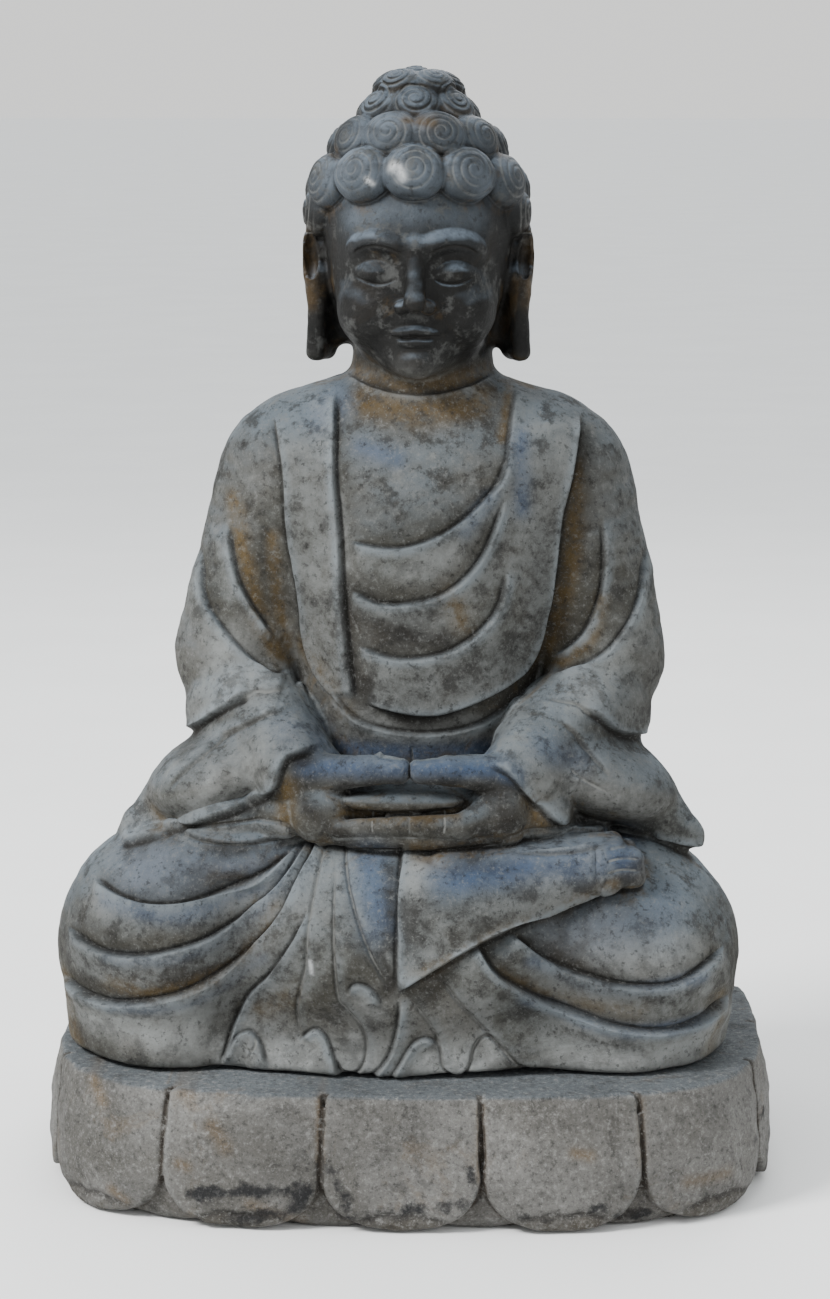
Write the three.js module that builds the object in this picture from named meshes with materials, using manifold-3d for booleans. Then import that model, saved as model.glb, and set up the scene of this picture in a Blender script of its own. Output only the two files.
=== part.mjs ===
// A carved stone Buddha, seated with crossed legs on a loose lotus plinth. Millimetres, +Z up, the front
// faces -Y, and the origin is the middle of the plinth's underside. Two stones make the object: the plinth
// and the figure. Two steel dowels locate the figure, four lead shims carry it, and it lifts straight off.
import * as THREE from 'three';
import { mergeVertices } from 'three/addons/utils/BufferGeometryUtils.js';
import Module from 'manifold-3d';

const wasm = await Module();
wasm.setup();

// ---- Driving dimensions ----
const TOTAL_HEIGHT = 1000;
const PLINTH_HEIGHT = 122;
const PLINTH_HALF_WIDTH = 322;
const PLINTH_HALF_DEPTH = 246;
const PLAN_POWER = 3.4;
const PETAL_FLARE = 9;
const INNER_PETAL_RECESS = 9;
const CORE_RECESS = 20;
const FRONT_PETAL_EDGES = [-207, -69, 69, 207];
const SIDE_PETAL_EDGES = [-125, 0, 125];
const SHIM_THICKNESS = 2.4;
const SHIM_RADIUS = 17;
const SHIM_X = 155;
const SHIM_Y = 68;
const TOUCH_GAP = 0.3;
const DOWEL_X = 110;
const DOWEL_Y = 15;
const DOWEL_RADIUS = 8;
const DOWEL_BELOW = 60;
const DOWEL_ABOVE = 52;
const GROUT_RADIUS = 14;
const GROUT_FLOOR = 6;
const SLEEVE_RADIUS = 12;
const SLEEVE_BORE = 9;
const SLEEVE_LENGTH = 56;
const SOCKET_DEPTH = 60;
const LIMB_SIDES = 10;
const BALL_SIDES = 12;
const CURL_SIDES = 6;

const FIGURE_BOTTOM = PLINTH_HEIGHT + SHIM_THICKNESS + 2 * TOUCH_GAP;
const HEAD_X = 6;
const TOP_CURL_RADIUS = 14;

// ---- Materials ----
const material = (color, roughness, metalness = 0) =>
  new THREE.MeshStandardMaterial({ color, roughness, metalness });
const FIGURE_STONE = material(0x4c5054, 0.72);
const PLINTH_STONE = material(0x6b6a66, 0.85);
const DOWEL_STEEL = material(0xa9adb0, 0.35, 1);
const GROUT = material(0x8f8a80, 0.95);
const SLEEVE_PLASTIC = material(0xd8d6cf, 0.5);
const SHIM_LEAD = material(0x5b5f66, 0.6, 0.8);

// ---- Solid helpers ----
// The closed solid of a geometry: shared corners are merged and triangles that collapse are dropped.
function toSolid(geometry) {
  const bare = geometry.clone();
  for (const name of Object.keys(bare.attributes)) {
    if (name !== 'position') bare.deleteAttribute(name);
  }
  const merged = mergeVertices(bare, 1e-3);
  const corners = merged.index.array;
  const kept = [];
  for (let i = 0; i < corners.length; i += 3) {
    const [a, b, c] = corners.slice(i, i + 3);
    if (a !== b && b !== c && c !== a) kept.push(a, b, c);
  }
  return new wasm.Manifold(new wasm.Mesh({
    numProp: 3,
    vertProperties: merged.attributes.position.array,
    triVerts: new Uint32Array(kept),
  }));
}

function toGeometry(solid) {
  const { vertProperties, triVerts } = solid.getMesh();
  const geometry = new THREE.BufferGeometry();
  geometry.setAttribute('position', new THREE.BufferAttribute(vertProperties, 3));
  geometry.setIndex(new THREE.BufferAttribute(triVerts, 1));
  return geometry;
}

function union(solids) {
  return solids.reduce((joined, solid) => joined.add(solid));
}

// The two mirrored halves of something: the function is called with -1 and with 1.
const bothSides = (make) => [-1, 1].flatMap((side) => make(side));

function ellipsoid(centre, radii, turn = [0, 0, 0], sides = BALL_SIDES) {
  const geometry = new THREE.SphereGeometry(1, sides, Math.round(sides * 0.5));
  geometry.rotateX(Math.PI / 2);
  geometry.scale(...radii);
  geometry.rotateX(THREE.MathUtils.degToRad(turn[0]));
  geometry.rotateY(THREE.MathUtils.degToRad(turn[1]));
  geometry.rotateZ(THREE.MathUtils.degToRad(turn[2]));
  geometry.translate(...centre);
  return toSolid(geometry);
}

// A lathe about +Z. Its profile is a list of [radius, height] that runs from the bottom up.
function lathe(profile, sides = LIMB_SIDES) {
  const points = profile.map(([radius, height]) => new THREE.Vector2(radius, height));
  const geometry = new THREE.LatheGeometry(points, sides);
  geometry.rotateX(Math.PI / 2);
  return geometry;
}

// A round-ended limb that tapers from one joint to the next.
function limb(from, to, fromRadius, toRadius, sides = LIMB_SIDES) {
  const start = new THREE.Vector3(...from);
  const axis = new THREE.Vector3(...to).sub(start);
  const length = axis.length();
  const steps = 3;
  const profile = [];
  for (let i = 0; i <= steps; i += 1) {
    const angle = (i / steps - 1) * Math.PI / 2;
    profile.push([fromRadius * Math.cos(angle), fromRadius * Math.sin(angle)]);
  }
  for (let i = 0; i <= steps; i += 1) {
    const angle = i / steps * Math.PI / 2;
    profile.push([toRadius * Math.cos(angle), length + toRadius * Math.sin(angle)]);
  }
  profile[0][0] = 0;
  profile[profile.length - 1][0] = 0;
  const geometry = lathe(profile, sides);
  const up = new THREE.Vector3(0, 0, 1);
  geometry.applyQuaternion(new THREE.Quaternion().setFromUnitVectors(up, axis.normalize()));
  geometry.translate(...from);
  return toSolid(geometry);
}

function cylinder(x, y, bottom, top, radius, sides = 32) {
  const geometry = new THREE.CylinderGeometry(radius, radius, top - bottom, sides);
  geometry.rotateX(Math.PI / 2);
  geometry.translate(x, y, (top + bottom) / 2);
  return toSolid(geometry);
}

// ---- Plinth ----
// The plan is a superellipse. These give the depth at a width and the width at a depth.
const planDepth = (x) => PLINTH_HALF_DEPTH * (1 - Math.abs(x / PLINTH_HALF_WIDTH) ** PLAN_POWER) ** (1 / PLAN_POWER);
const planWidth = (y) => PLINTH_HALF_WIDTH * (1 - Math.abs(y / PLINTH_HALF_DEPTH) ** PLAN_POWER) ** (1 / PLAN_POWER);

function planShape(halfWidth, halfDepth, points = 52) {
  const outline = [];
  for (let i = 0; i < points; i += 1) {
    const angle = i / points * 2 * Math.PI;
    const across = Math.sign(Math.cos(angle)) * Math.abs(Math.cos(angle)) ** (2 / PLAN_POWER);
    const along = Math.sign(Math.sin(angle)) * Math.abs(Math.sin(angle)) ** (2 / PLAN_POWER);
    outline.push(new THREE.Vector2(halfWidth * across, halfDepth * along));
  }
  return new THREE.Shape(outline);
}

// How far the petals swell out at a height: most near their tips, and eased off at the top edge.
function swell(height) {
  const share = height / PLINTH_HEIGHT;
  if (share > 0.93) return -5 * (share - 0.93) / 0.07;
  if (share > 0.29) return PETAL_FLARE * Math.cos((share - 0.29) / 0.64 * Math.PI / 2);
  return PETAL_FLARE - 7 * (1 - share / 0.29) ** 2;
}

// The plinth's block at a recess behind the petal faces, from the ground to the top.
function plinthBlock(recess) {
  const shape = planShape(1, 1);
  const steps = 5;
  const geometry = new THREE.ExtrudeGeometry(shape, { depth: PLINTH_HEIGHT, steps, bevelEnabled: false });
  const place = geometry.attributes.position;
  for (let i = 0; i < place.count; i += 1) {
    const grow = swell(place.getZ(i)) - recess;
    place.setX(i, place.getX(i) * (PLINTH_HALF_WIDTH + grow));
    place.setY(i, place.getY(i) * (PLINTH_HALF_DEPTH + grow));
  }
  return toSolid(geometry);
}

// The outline of one hanging petal, cut straight through the edge of the plinth from one plan point to
// the next. Its tip is a flattened half oval.
function petalCutter([x0, y0], [x1, y1], tip, rise, margin) {
  const width = Math.hypot(x1 - x0, y1 - y0) - margin;
  const half = width / 2;
  const outline = new THREE.Shape();
  outline.moveTo(-half, PLINTH_HEIGHT + 10);
  outline.lineTo(-half, tip + rise);
  outline.bezierCurveTo(-half, tip + rise * 0.35, -half * 0.6, tip, 0, tip);
  outline.bezierCurveTo(half * 0.6, tip, half, tip + rise * 0.35, half, tip + rise);
  outline.lineTo(half, PLINTH_HEIGHT + 10);
  const inside = 50;
  const outside = 70;
  const geometry = new THREE.ExtrudeGeometry(outline, {
    depth: inside + outside,
    curveSegments: 4,
    bevelEnabled: false,
  });
  geometry.rotateX(Math.PI / 2);
  geometry.translate(0, inside, 0);
  geometry.rotateZ(Math.atan2(y1 - y0, x1 - x0));
  geometry.translate((x0 + x1) / 2, (y0 + y1) / 2, 0);
  return toSolid(geometry);
}

// The petal edges round the plan, anticlockwise from the front left.
const petalEdges = [
  ...FRONT_PETAL_EDGES.map((x) => [x, -planDepth(x)]),
  ...SIDE_PETAL_EDGES.map((y) => [planWidth(y), y]),
  ...FRONT_PETAL_EDGES.map((x) => [-x, planDepth(x)]),
  ...SIDE_PETAL_EDGES.map((y) => [-planWidth(y), -y]),
];

const middle = ([x0, y0], [x1, y1]) => [(x0 + x1) / 2, (y0 + y1) / 2];
const edgeAt = (index) => petalEdges[index % petalEdges.length];
const outerCutters = petalEdges.map((edge, i) => petalCutter(edge, edgeAt(i + 1), 3, 58, 4));
const innerCutters = petalEdges.map((edge, i) => {
  const before = middle(edge, edgeAt(i + 1));
  const after = middle(edgeAt(i + 1), edgeAt(i + 2));
  return petalCutter(before, after, 0, 40, 8);
});

const boreX = [-DOWEL_X, DOWEL_X];
const groutBottom = PLINTH_HEIGHT - DOWEL_BELOW - GROUT_FLOOR - 2 * TOUCH_GAP;
const plinthBores = boreX.map((x) =>
  cylinder(x, DOWEL_Y, groutBottom, PLINTH_HEIGHT + 1, GROUT_RADIUS + TOUCH_GAP));
const plinthSolid = union([
  plinthBlock(CORE_RECESS),
  plinthBlock(INNER_PETAL_RECESS).intersect(union(innerCutters)),
  plinthBlock(0).intersect(union(outerCutters)),
]).subtract(union(plinthBores));

// ---- Figure: head ----
const headParts = [
  ellipsoid([HEAD_X, 4, 856], [86, 92, 84]),
  ellipsoid([HEAD_X, -12, 812], [76, 80, 84]),
  ellipsoid([HEAD_X, -42, 763], [48, 48, 34]),
  ellipsoid([HEAD_X - 2, 12, 938], [44, 46, 46]),
  limb([HEAD_X + 3, 12, 690], [HEAD_X + 3, 8, 790], 68, 64),
  // Nose, eyelids and lips on even thirds of the face.
  limb([HEAD_X, -84, 832], [HEAD_X, -96, 790], 7, 10, 8),
  ...bothSides((side) => [
    ellipsoid([HEAD_X + side * 10, -90, 786], [8, 9, 7], [0, 0, 0], 8),
    ellipsoid([HEAD_X + side * 32, -74, 817], [17, 12, 9], [0, 0, side * 22], 10),
    limb([HEAD_X + side * 10, -86, 840], [HEAD_X + side * 52, -64, 838], 5, 4, 6),
    // Long ears, joined to the head behind by a web of stone.
    ellipsoid([HEAD_X + side * 90, 12, 826], [11, 27, 38], [0, 0, side * 24], 10),
    ellipsoid([HEAD_X + side * 87, 10, 776], [11, 20, 46], [0, 0, side * 20], 10),
    ellipsoid([HEAD_X + side * 75, 25, 808], [22, 22, 62], [0, 0, 0], 8),
  ]),
  ellipsoid([HEAD_X, -85, 769], [24, 10, 5], [0, 0, 0], 10),
  ellipsoid([HEAD_X, -84, 760], [18, 10, 5], [0, 0, 0], 10),
];

// Snail curls. Each row is a ring: height, half width, half depth, ball radius, count, the part of the turn
// it covers and where it starts, in turns from the front.
const curlRows = [
  [892, 84, 90, 25, 12, 1, 0],
  [926, 66, 70, 24, 9, 1, 0.5 / 9],
  [958, 38, 40, 20, 7, 1, 0],
  [980, 16, 17, 16, 3, 1, 0.5 / 3],
  [858, 92, 92, 22, 8, 0.54, 0.23],
  [822, 80, 86, 22, 7, 0.42, 0.29],
  [788, 66, 72, 21, 5, 0.34, 0.33],
];
function curlBall(radius) {
  const geometry = new THREE.SphereGeometry(radius, CURL_SIDES, CURL_SIDES - 2);
  geometry.rotateX(Math.PI / 2);
  return geometry;
}

const curls = curlRows.flatMap(([height, halfWidth, halfDepth, radius, count, share, start]) => {
  const steps = share === 1 ? count : count - 1;
  return Array.from({ length: count }, (_, i) => {
    const angle = (start + i / steps * share) * 2 * Math.PI;
    const ball = curlBall(radius);
    ball.translate(HEAD_X + halfWidth * Math.sin(angle), 6 - halfDepth * Math.cos(angle), height);
    return toSolid(ball);
  });
});
const topCurl = curlBall(TOP_CURL_RADIUS);
topCurl.translate(HEAD_X - 2, 8, TOTAL_HEIGHT - TOP_CURL_RADIUS);

// ---- Figure: body ----
const torso = [
  limb([4, 20, 360], [8, 12, 540], 118, 112, 16),
  ellipsoid([8, 8, 575], [158, 100, 150], [0, 0, 0], 16),
  limb([-96, 12, 644], [114, 12, 640], 66, 70, 14),
  ellipsoid([8, 14, 690], [96, 66, 38]),
  ellipsoid([6, 48, 520], [140, 80, 170]),
  ellipsoid([5, 62, 300], [150, 100, 130]),
  // The outer robe is thicker down each side of the chest.
  ellipsoid([88, -4, 560], [84, 98, 150], [0, -6, 0]),
  ellipsoid([-92, -4, 560], [76, 97, 150], [0, 6, 0]),
];

// Each arm: upper sleeve, forearm sleeve, the sleeve's fall to the thigh, its lining on the lap, and the
// stone left standing between the forearm and the waist.
const arms = [
  limb([-116, 12, 634], [-158, -2, 468], 60, 58),
  limb([-152, -26, 428], [-98, -118, 384], 50, 36),
  limb([-166, -42, 374], [-238, -70, 328], 48, 18),
  ellipsoid([-164, -76, 368], [66, 58, 38]),
  ellipsoid([-146, -84, 320], [66, 60, 24]),
  ellipsoid([-110, -52, 392], [40, 46, 46], [0, 0, 0], 8),
  limb([138, 12, 628], [173, -2, 470], 62, 59),
  limb([167, -26, 430], [104, -118, 384], 51, 36),
  limb([182, -42, 370], [246, -70, 320], 49, 18),
  ellipsoid([172, -76, 364], [68, 58, 40]),
  ellipsoid([128, -82, 320], [52, 58, 22]),
  ellipsoid([116, -52, 392], [40, 46, 46], [0, 0, 0], 8),
];

// Hands in the lap, one on the other, with the thumbs meeting above the hollow between them.
const palms = union([
  ellipsoid([4, -108, 352], [96, 46, 32]),
  ...bothSides((side) => [
    limb([4 + side * 84, -118, 374], [4 + side * 78, -142, 350], 29, 27, 8),
    limb([4 + side * 84, -140, 385], [4 + side * 36, -158, 391], 19, 13.5, 8),
    limb([4 + side * 36, -158, 391], [4 + side * 8, -162, 389], 13, 11, 8),
  ]),
]).subtract(ellipsoid([5, -182, 362], [68, 34, 17]));
const hands = [
  palms,
  ellipsoid([6, -146, 365], [56, 20, 8], [0, 0, 0], 10),
  limb([80, -150, 352], [48, -165, 345], 18, 12, 8),
  limb([48, -165, 345], [-58, -163, 344], 12.5, 11, 8),
];

const legs = [
  // The knee on the -X side, then the one on the +X side, each with the robe spread below it.
  limb([-85, 50, 232], [-206, -62, 214], 100, 104, 14),
  ellipsoid([-212, -62, 212], [108, 123, 112], [0, 0, 0], 16),
  ellipsoid([-207, -60, 138], [104, 124, 118], [0, 0, 0], 16),
  limb([95, 50, 226], [188, -62, 206], 98, 102, 14),
  ellipsoid([192, -62, 206], [106, 122, 108], [0, 0, 0], 16),
  ellipsoid([187, -60, 136], [100, 122, 114], [0, 0, 0], 16),
  // Robe over the shins, behind the seat, and across the front of the plinth.
  ellipsoid([0, -85, 215], [190, 122, 118], [0, 0, 0], 16),
  ellipsoid([0, -106, 268], [132, 80, 62]),
  ellipsoid([-6, 36, 190], [258, 130, 118], [0, 0, 0], 16),
  ellipsoid([-4, -62, 128], [256, 137, 104], [0, 0, 0], 18),
  // The upper shin and foot lie across the far thigh, the sole turned up.
  limb([28, -158, 266], [180, -126, 303], 50, 21),
  ellipsoid([110, -146, 306], [92, 29, 20], [12, -3, 8]),
  ellipsoid([189, -134, 308], [20, 28, 20], [12, -3, 8], 10),
];

const below = new THREE.BoxGeometry(900, 900, 300);
below.translate(0, 0, FIGURE_BOTTOM - 150);
const sockets = boreX.map((x) =>
  cylinder(x, DOWEL_Y, FIGURE_BOTTOM - 5, FIGURE_BOTTOM + SOCKET_DEPTH, SLEEVE_RADIUS + TOUCH_GAP));
const figureSolid = union([
  ...headParts,
  ...curls,
  toSolid(topCurl),
  ...torso,
  ...arms,
  ...hands,
  ...legs,
]).subtract(toSolid(below)).subtract(union(sockets));

// ---- Hidden fixings ----
const dowelProfile = [
  [0, 0],
  [DOWEL_RADIUS - 1, 0],
  [DOWEL_RADIUS, 1],
  [DOWEL_RADIUS, DOWEL_BELOW + DOWEL_ABOVE - 3],
  [DOWEL_RADIUS - 3, DOWEL_BELOW + DOWEL_ABOVE],
  [0, DOWEL_BELOW + DOWEL_ABOVE],
];
const groutProfile = [
  [0, 0],
  [GROUT_RADIUS, 0],
  [GROUT_RADIUS, DOWEL_BELOW + GROUT_FLOOR - 2],
  [DOWEL_RADIUS + TOUCH_GAP, DOWEL_BELOW + GROUT_FLOOR - 2],
  [DOWEL_RADIUS + TOUCH_GAP, GROUT_FLOOR],
  [0, GROUT_FLOOR],
];
const sleeveProfile = [
  [SLEEVE_BORE, 0],
  [SLEEVE_RADIUS, 0],
  [SLEEVE_RADIUS, SLEEVE_LENGTH],
  [SLEEVE_BORE, SLEEVE_LENGTH],
  [SLEEVE_BORE, 0],
];
const shimProfile = [
  [0, 0],
  [SHIM_RADIUS - 0.5, 0],
  [SHIM_RADIUS, 0.5],
  [SHIM_RADIUS, SHIM_THICKNESS - 0.5],
  [SHIM_RADIUS - 0.5, SHIM_THICKNESS],
  [0, SHIM_THICKNESS],
];

// ---- Assembly ----
const object = new THREE.Group();
const plinthGroup = new THREE.Group();
const figureGroup = new THREE.Group();
object.add(plinthGroup, figureGroup);

function addPart(group, name, geometry, surface, position = [0, 0, 0]) {
  const mesh = new THREE.Mesh(geometry, surface);
  mesh.name = name;
  mesh.position.set(...position);
  group.add(mesh);
}

addPart(plinthGroup, 'lotus_plinth', toGeometry(plinthSolid), PLINTH_STONE);
addPart(figureGroup, 'seated_figure', toGeometry(figureSolid), FIGURE_STONE);

const sideNames = ['left', 'right'];
const endNames = ['front', 'back'];
sideNames.forEach((sideName, i) => {
  const x = boreX[i];
  const dowelBottom = PLINTH_HEIGHT - DOWEL_BELOW;
  const groutFoot = groutBottom + TOUCH_GAP;
  addPart(plinthGroup, `dowel_${sideName}`, lathe(dowelProfile, 24), DOWEL_STEEL, [x, DOWEL_Y, dowelBottom]);
  addPart(plinthGroup, `grout_${sideName}`, lathe(groutProfile, 24), GROUT, [x, DOWEL_Y, groutFoot]);
  addPart(figureGroup, `sleeve_${sideName}`, lathe(sleeveProfile, 24), SLEEVE_PLASTIC,
    [x, DOWEL_Y, FIGURE_BOTTOM + 2]);
  endNames.forEach((endName, j) => {
    addPart(plinthGroup, `shim_${endName}_${sideName}`, lathe(shimProfile, 24), SHIM_LEAD,
      [(i * 2 - 1) * SHIM_X, (j * 2 - 1) * SHIM_Y, PLINTH_HEIGHT + TOUCH_GAP]);
  });
});

export default object;
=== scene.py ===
"""A weathered stone Buddha on a lotus plinth. Both stones are carved from blended distance fields,
meshed, cut with folds and curls, and painted with procedural stone."""
import math

import bpy
import numpy as np
from mathutils import Euler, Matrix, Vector


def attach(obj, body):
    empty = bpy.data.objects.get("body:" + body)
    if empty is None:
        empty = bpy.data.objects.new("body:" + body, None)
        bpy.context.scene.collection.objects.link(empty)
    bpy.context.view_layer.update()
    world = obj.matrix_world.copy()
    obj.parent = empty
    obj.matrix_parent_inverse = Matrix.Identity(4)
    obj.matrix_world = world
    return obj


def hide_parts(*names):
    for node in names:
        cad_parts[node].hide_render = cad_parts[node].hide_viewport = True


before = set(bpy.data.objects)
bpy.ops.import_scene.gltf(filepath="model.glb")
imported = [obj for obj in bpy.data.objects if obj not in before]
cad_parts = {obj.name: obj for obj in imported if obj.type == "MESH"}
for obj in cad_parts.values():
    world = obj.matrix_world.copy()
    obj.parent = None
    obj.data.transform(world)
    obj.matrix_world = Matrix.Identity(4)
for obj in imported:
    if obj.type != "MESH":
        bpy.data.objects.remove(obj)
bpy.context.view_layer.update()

# All the carving is done in millimetres and turned to metres when a mesh is made.
MM = 0.001
STEP = 4.5
# A field is at most FAR. Its points are taken in cubes, with the shapes that reach this far past them.
FAR = 60.0
CUBE = 56.0
BLEND_MARGIN = 42.0

# ---------------------------------------------------------------- distance fields


def turned(angles):
    """The directions, one a column, of a shape turned by these degrees about X, Y and Z."""
    return np.array(Euler([math.radians(angle) for angle in angles]).to_matrix())


def ellipsoid_along(centre, radii, axes):
    """An ellipsoid whose three directions are the columns of axes."""

    def distance(points):
        local = (points - centre) @ axes
        size = np.sqrt(((local / radii) ** 2).sum(1))
        slope = np.sqrt(((local / radii**2) ** 2).sum(1))
        return size * (size - 1) / np.maximum(slope, 1e-6)

    return distance, centre, radii.max()


def ellipsoid(centre, radii, turn=(0, 0, 0)):
    return ellipsoid_along(np.array(centre, float), np.array(radii, float), turned(turn))


def cone(start, end, start_radius, end_radius):
    """A limb with round ends that tapers between two points."""
    start = np.array(start, float)
    axis = np.array(end, float) - start
    length2 = axis @ axis

    def distance(points):
        away = points - start
        share = np.clip(away @ axis / length2, 0, 1)
        gap = away - share[:, None] * axis
        return np.sqrt((gap**2).sum(1)) - (start_radius + share * (end_radius - start_radius))

    return distance, start + axis / 2, math.sqrt(length2) / 2 + max(start_radius, end_radius)


def block(centre, half, rounding, turn=(0, 0, 0)):
    """A box with rounded edges, given by its half sizes."""
    centre = np.array(centre, float)
    half = np.array(half, float)
    spin = turned(turn)

    def distance(points):
        outside = np.abs((points - centre) @ spin) - (half - rounding)
        inner = np.minimum(outside.max(1), 0)
        return np.sqrt((np.maximum(outside, 0) ** 2).sum(1)) + inner - rounding

    return distance, centre, float(np.linalg.norm(half))


def soft_min(a, b, soft):
    if soft <= 0:
        return np.minimum(a, b)
    share = np.clip(0.5 + 0.5 * (b - a) / soft, 0, 1)
    return b + (a - b) * share - soft * share * (1 - share)


def field(points, shapes):
    """Distance in millimetres from each point to the shapes, joined or cut in order.
    The points are taken a cube at a time, with only the shapes that reach that cube."""
    centres = np.array([shape[2][1] for shape in shapes])
    reaches = np.array([shape[2][2] for shape in shapes])
    cell = np.floor(points / CUBE).astype(np.int64) + 64
    order = np.argsort((cell[:, 0] * 128 + cell[:, 1]) * 128 + cell[:, 2], kind="stable")
    change = np.any(np.diff(cell[order], axis=0) != 0, axis=1)
    starts = np.concatenate([[0], np.flatnonzero(change) + 1])
    ends = np.append(starts[1:], len(points))
    result = np.empty(len(points))
    for start, end in zip(starts, ends):
        group = order[start:end]
        here = points[group]
        middle = here.mean(0)
        size = np.sqrt(((here - middle) ** 2).sum(1).max())
        close = np.linalg.norm(centres - middle, axis=1) < reaches + size + BLEND_MARGIN
        value = np.full(len(here), FAR)
        for i in np.flatnonzero(close):
            join, soft, (distance, _, _) = shapes[i]
            if join == "add":
                value = soft_min(value, distance(here), soft)
            else:
                value = -soft_min(-value, distance(here), soft)
        result[group] = value
    return result


def add(soft, shape):
    return ("add", soft, shape)


def cut(soft, shape):
    return ("cut", soft, shape)


def both_sides(make):
    """make(side) for the left, side -1, and the right, side 1."""
    return [item for side in (-1, 1) for item in make(side)]


# ---------------------------------------------------------------- meshing


def surface_nets(distance, low, high, step):
    """The zero surface of a distance field as corners and quads, one corner in each mixed cell."""
    low = np.array(low, float)
    counts = np.ceil((np.array(high) - low) / step).astype(int) + 1
    axes = [low[i] + step * np.arange(counts[i]) for i in range(3)]
    grid = np.stack(np.meshgrid(*axes, indexing="ij"), -1).reshape(-1, 3)
    values = distance(grid).reshape(counts)
    inside = values < 0

    corner_steps = [(i, j, k) for i in (0, 1) for j in (0, 1) for k in (0, 1)]
    cells = tuple(counts - 1)

    def at_corner(array, corner):
        i, j, k = corner
        return array[i : i + cells[0], j : j + cells[1], k : k + cells[2]]

    full = np.ones(cells, bool)
    some = np.zeros(cells, bool)
    for corner in corner_steps:
        here = at_corner(inside, corner)
        full &= here
        some |= here
    mixed = np.argwhere(some & ~full)
    number = np.full(cells, -1)
    number[tuple(mixed.T)] = np.arange(len(mixed))

    total = np.zeros((len(mixed), 3))
    hits = np.zeros(len(mixed))
    for first in corner_steps:
        for axis in range(3):
            if first[axis]:
                continue
            second = list(first)
            second[axis] = 1
            a = values[tuple((mixed + first).T)]
            b = values[tuple((mixed + second).T)]
            crosses = (a < 0) != (b < 0)
            share = np.where(crosses, a / np.where(crosses, a - b, 1), 0)
            place = np.tile(np.array(first, float), (len(mixed), 1))
            place[:, axis] += share
            total[crosses] += place[crosses]
            hits += crosses
    corners = low + step * (mixed + total / hits[:, None])

    quads = []
    for axis in range(3):
        u, v = (axis + 1) % 3, (axis + 2) % 3
        here = np.moveaxis(inside, axis, 0)
        change = np.moveaxis(here[:-1] != here[1:], 0, axis)
        edges = np.argwhere(change)
        edges = edges[(edges[:, u] > 0) & (edges[:, v] > 0)]
        edges = edges[(edges[:, u] < cells[u]) & (edges[:, v] < cells[v])]
        ring = []
        for du, dv in ((1, 1), (0, 1), (0, 0), (1, 0)):
            cell = edges.copy()
            cell[:, u] -= du
            cell[:, v] -= dv
            ring.append(number[tuple(cell.T)])
        faces = np.stack(ring, 1)
        outward = inside[tuple(edges.T)]
        faces[~outward] = faces[~outward][:, ::-1]
        quads.append(faces)
    return corners, np.concatenate(quads)


def split(corners, quads, chosen):
    """Cuts the chosen quads in four. A neighbour that stays whole gets the new corner on its edge."""
    count = len(corners)
    after = np.roll(quads, -1, 1)
    keys = np.minimum(quads, after).astype(np.int64) * count + np.maximum(quads, after)
    edge_keys, where = np.unique(keys[chosen], return_inverse=True)
    middles = (corners[edge_keys // count] + corners[edge_keys % count]) / 2
    centres = corners[quads[chosen]].mean(1)
    mid = count + where.reshape(-1, 4)
    hub = count + len(middles) + np.arange(len(centres))
    old = quads[chosen]
    parts = [np.stack([old[:, i], mid[:, i], hub, mid[:, i - 1]], 1) for i in range(4)]
    kept, kept_keys = quads[~chosen], keys[~chosen]
    spot = np.minimum(np.searchsorted(edge_keys, kept_keys), len(edge_keys) - 1)
    shared = edge_keys[spot] == kept_keys
    plain = ~shared.any(1)
    faces = [tuple(face) for face in np.concatenate(parts + [kept[plain]]).tolist()]
    for face, marks, spots in zip(kept[~plain], shared[~plain], spot[~plain]):
        ring = []
        for i in range(4):
            ring.append(int(face[i]))
            if marks[i]:
                ring.append(int(count + spots[i]))
        faces.append(tuple(ring))
    return np.concatenate([corners, middles, centres]), faces


def gradient(distance, points, reach=0.6):
    """The field's outward direction at each point, from four samples."""
    total = np.zeros_like(points)
    for sign in ((1, -1, -1), (-1, -1, 1), (-1, 1, -1), (1, 1, 1)):
        sign = np.array(sign, float)
        total += sign * distance(points + reach * sign)[:, None]
    return total / np.maximum(np.linalg.norm(total, axis=1), 1e-9)[:, None]


def settle(distance, points, rounds, most):
    """Moves points on to the field's surface, by no more than most in each round, and returns them
    with their outward directions."""
    for _ in range(rounds):
        normal = gradient(distance, points)
        points = points - normal * np.clip(distance(points), -most, most)[:, None]
    return points, gradient(distance, points)


def carve_block(distance, low, high):
    """A field's surface between two corners of a box, as corners, faces and outward directions."""
    corners, quads = surface_nets(distance, low, high, STEP)
    corners, faces = split(corners, quads, np.ones(len(quads), bool))
    corners, normal = settle(distance, corners, 3, 3)
    return corners, faces, normal


# ---------------------------------------------------------------- carved lines


def smooth_curve(points, between=6):
    """A Catmull-Rom curve through given points."""
    points = np.array(points, float)
    ends = np.concatenate([[2 * points[0] - points[1]], points, [2 * points[-1] - points[-2]]])
    t = np.arange(between)[:, None] / between
    spans = []
    for a, b, c, d in zip(ends, ends[1:], ends[2:], ends[3:]):
        spans.append(0.5 * (2 * b + (c - a) * t + (2 * a - 5 * b + 4 * c - d) * t**2
                            + (3 * b - a - 3 * c + d) * t**3))
    return np.concatenate(spans + [points[-1:]])


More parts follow.
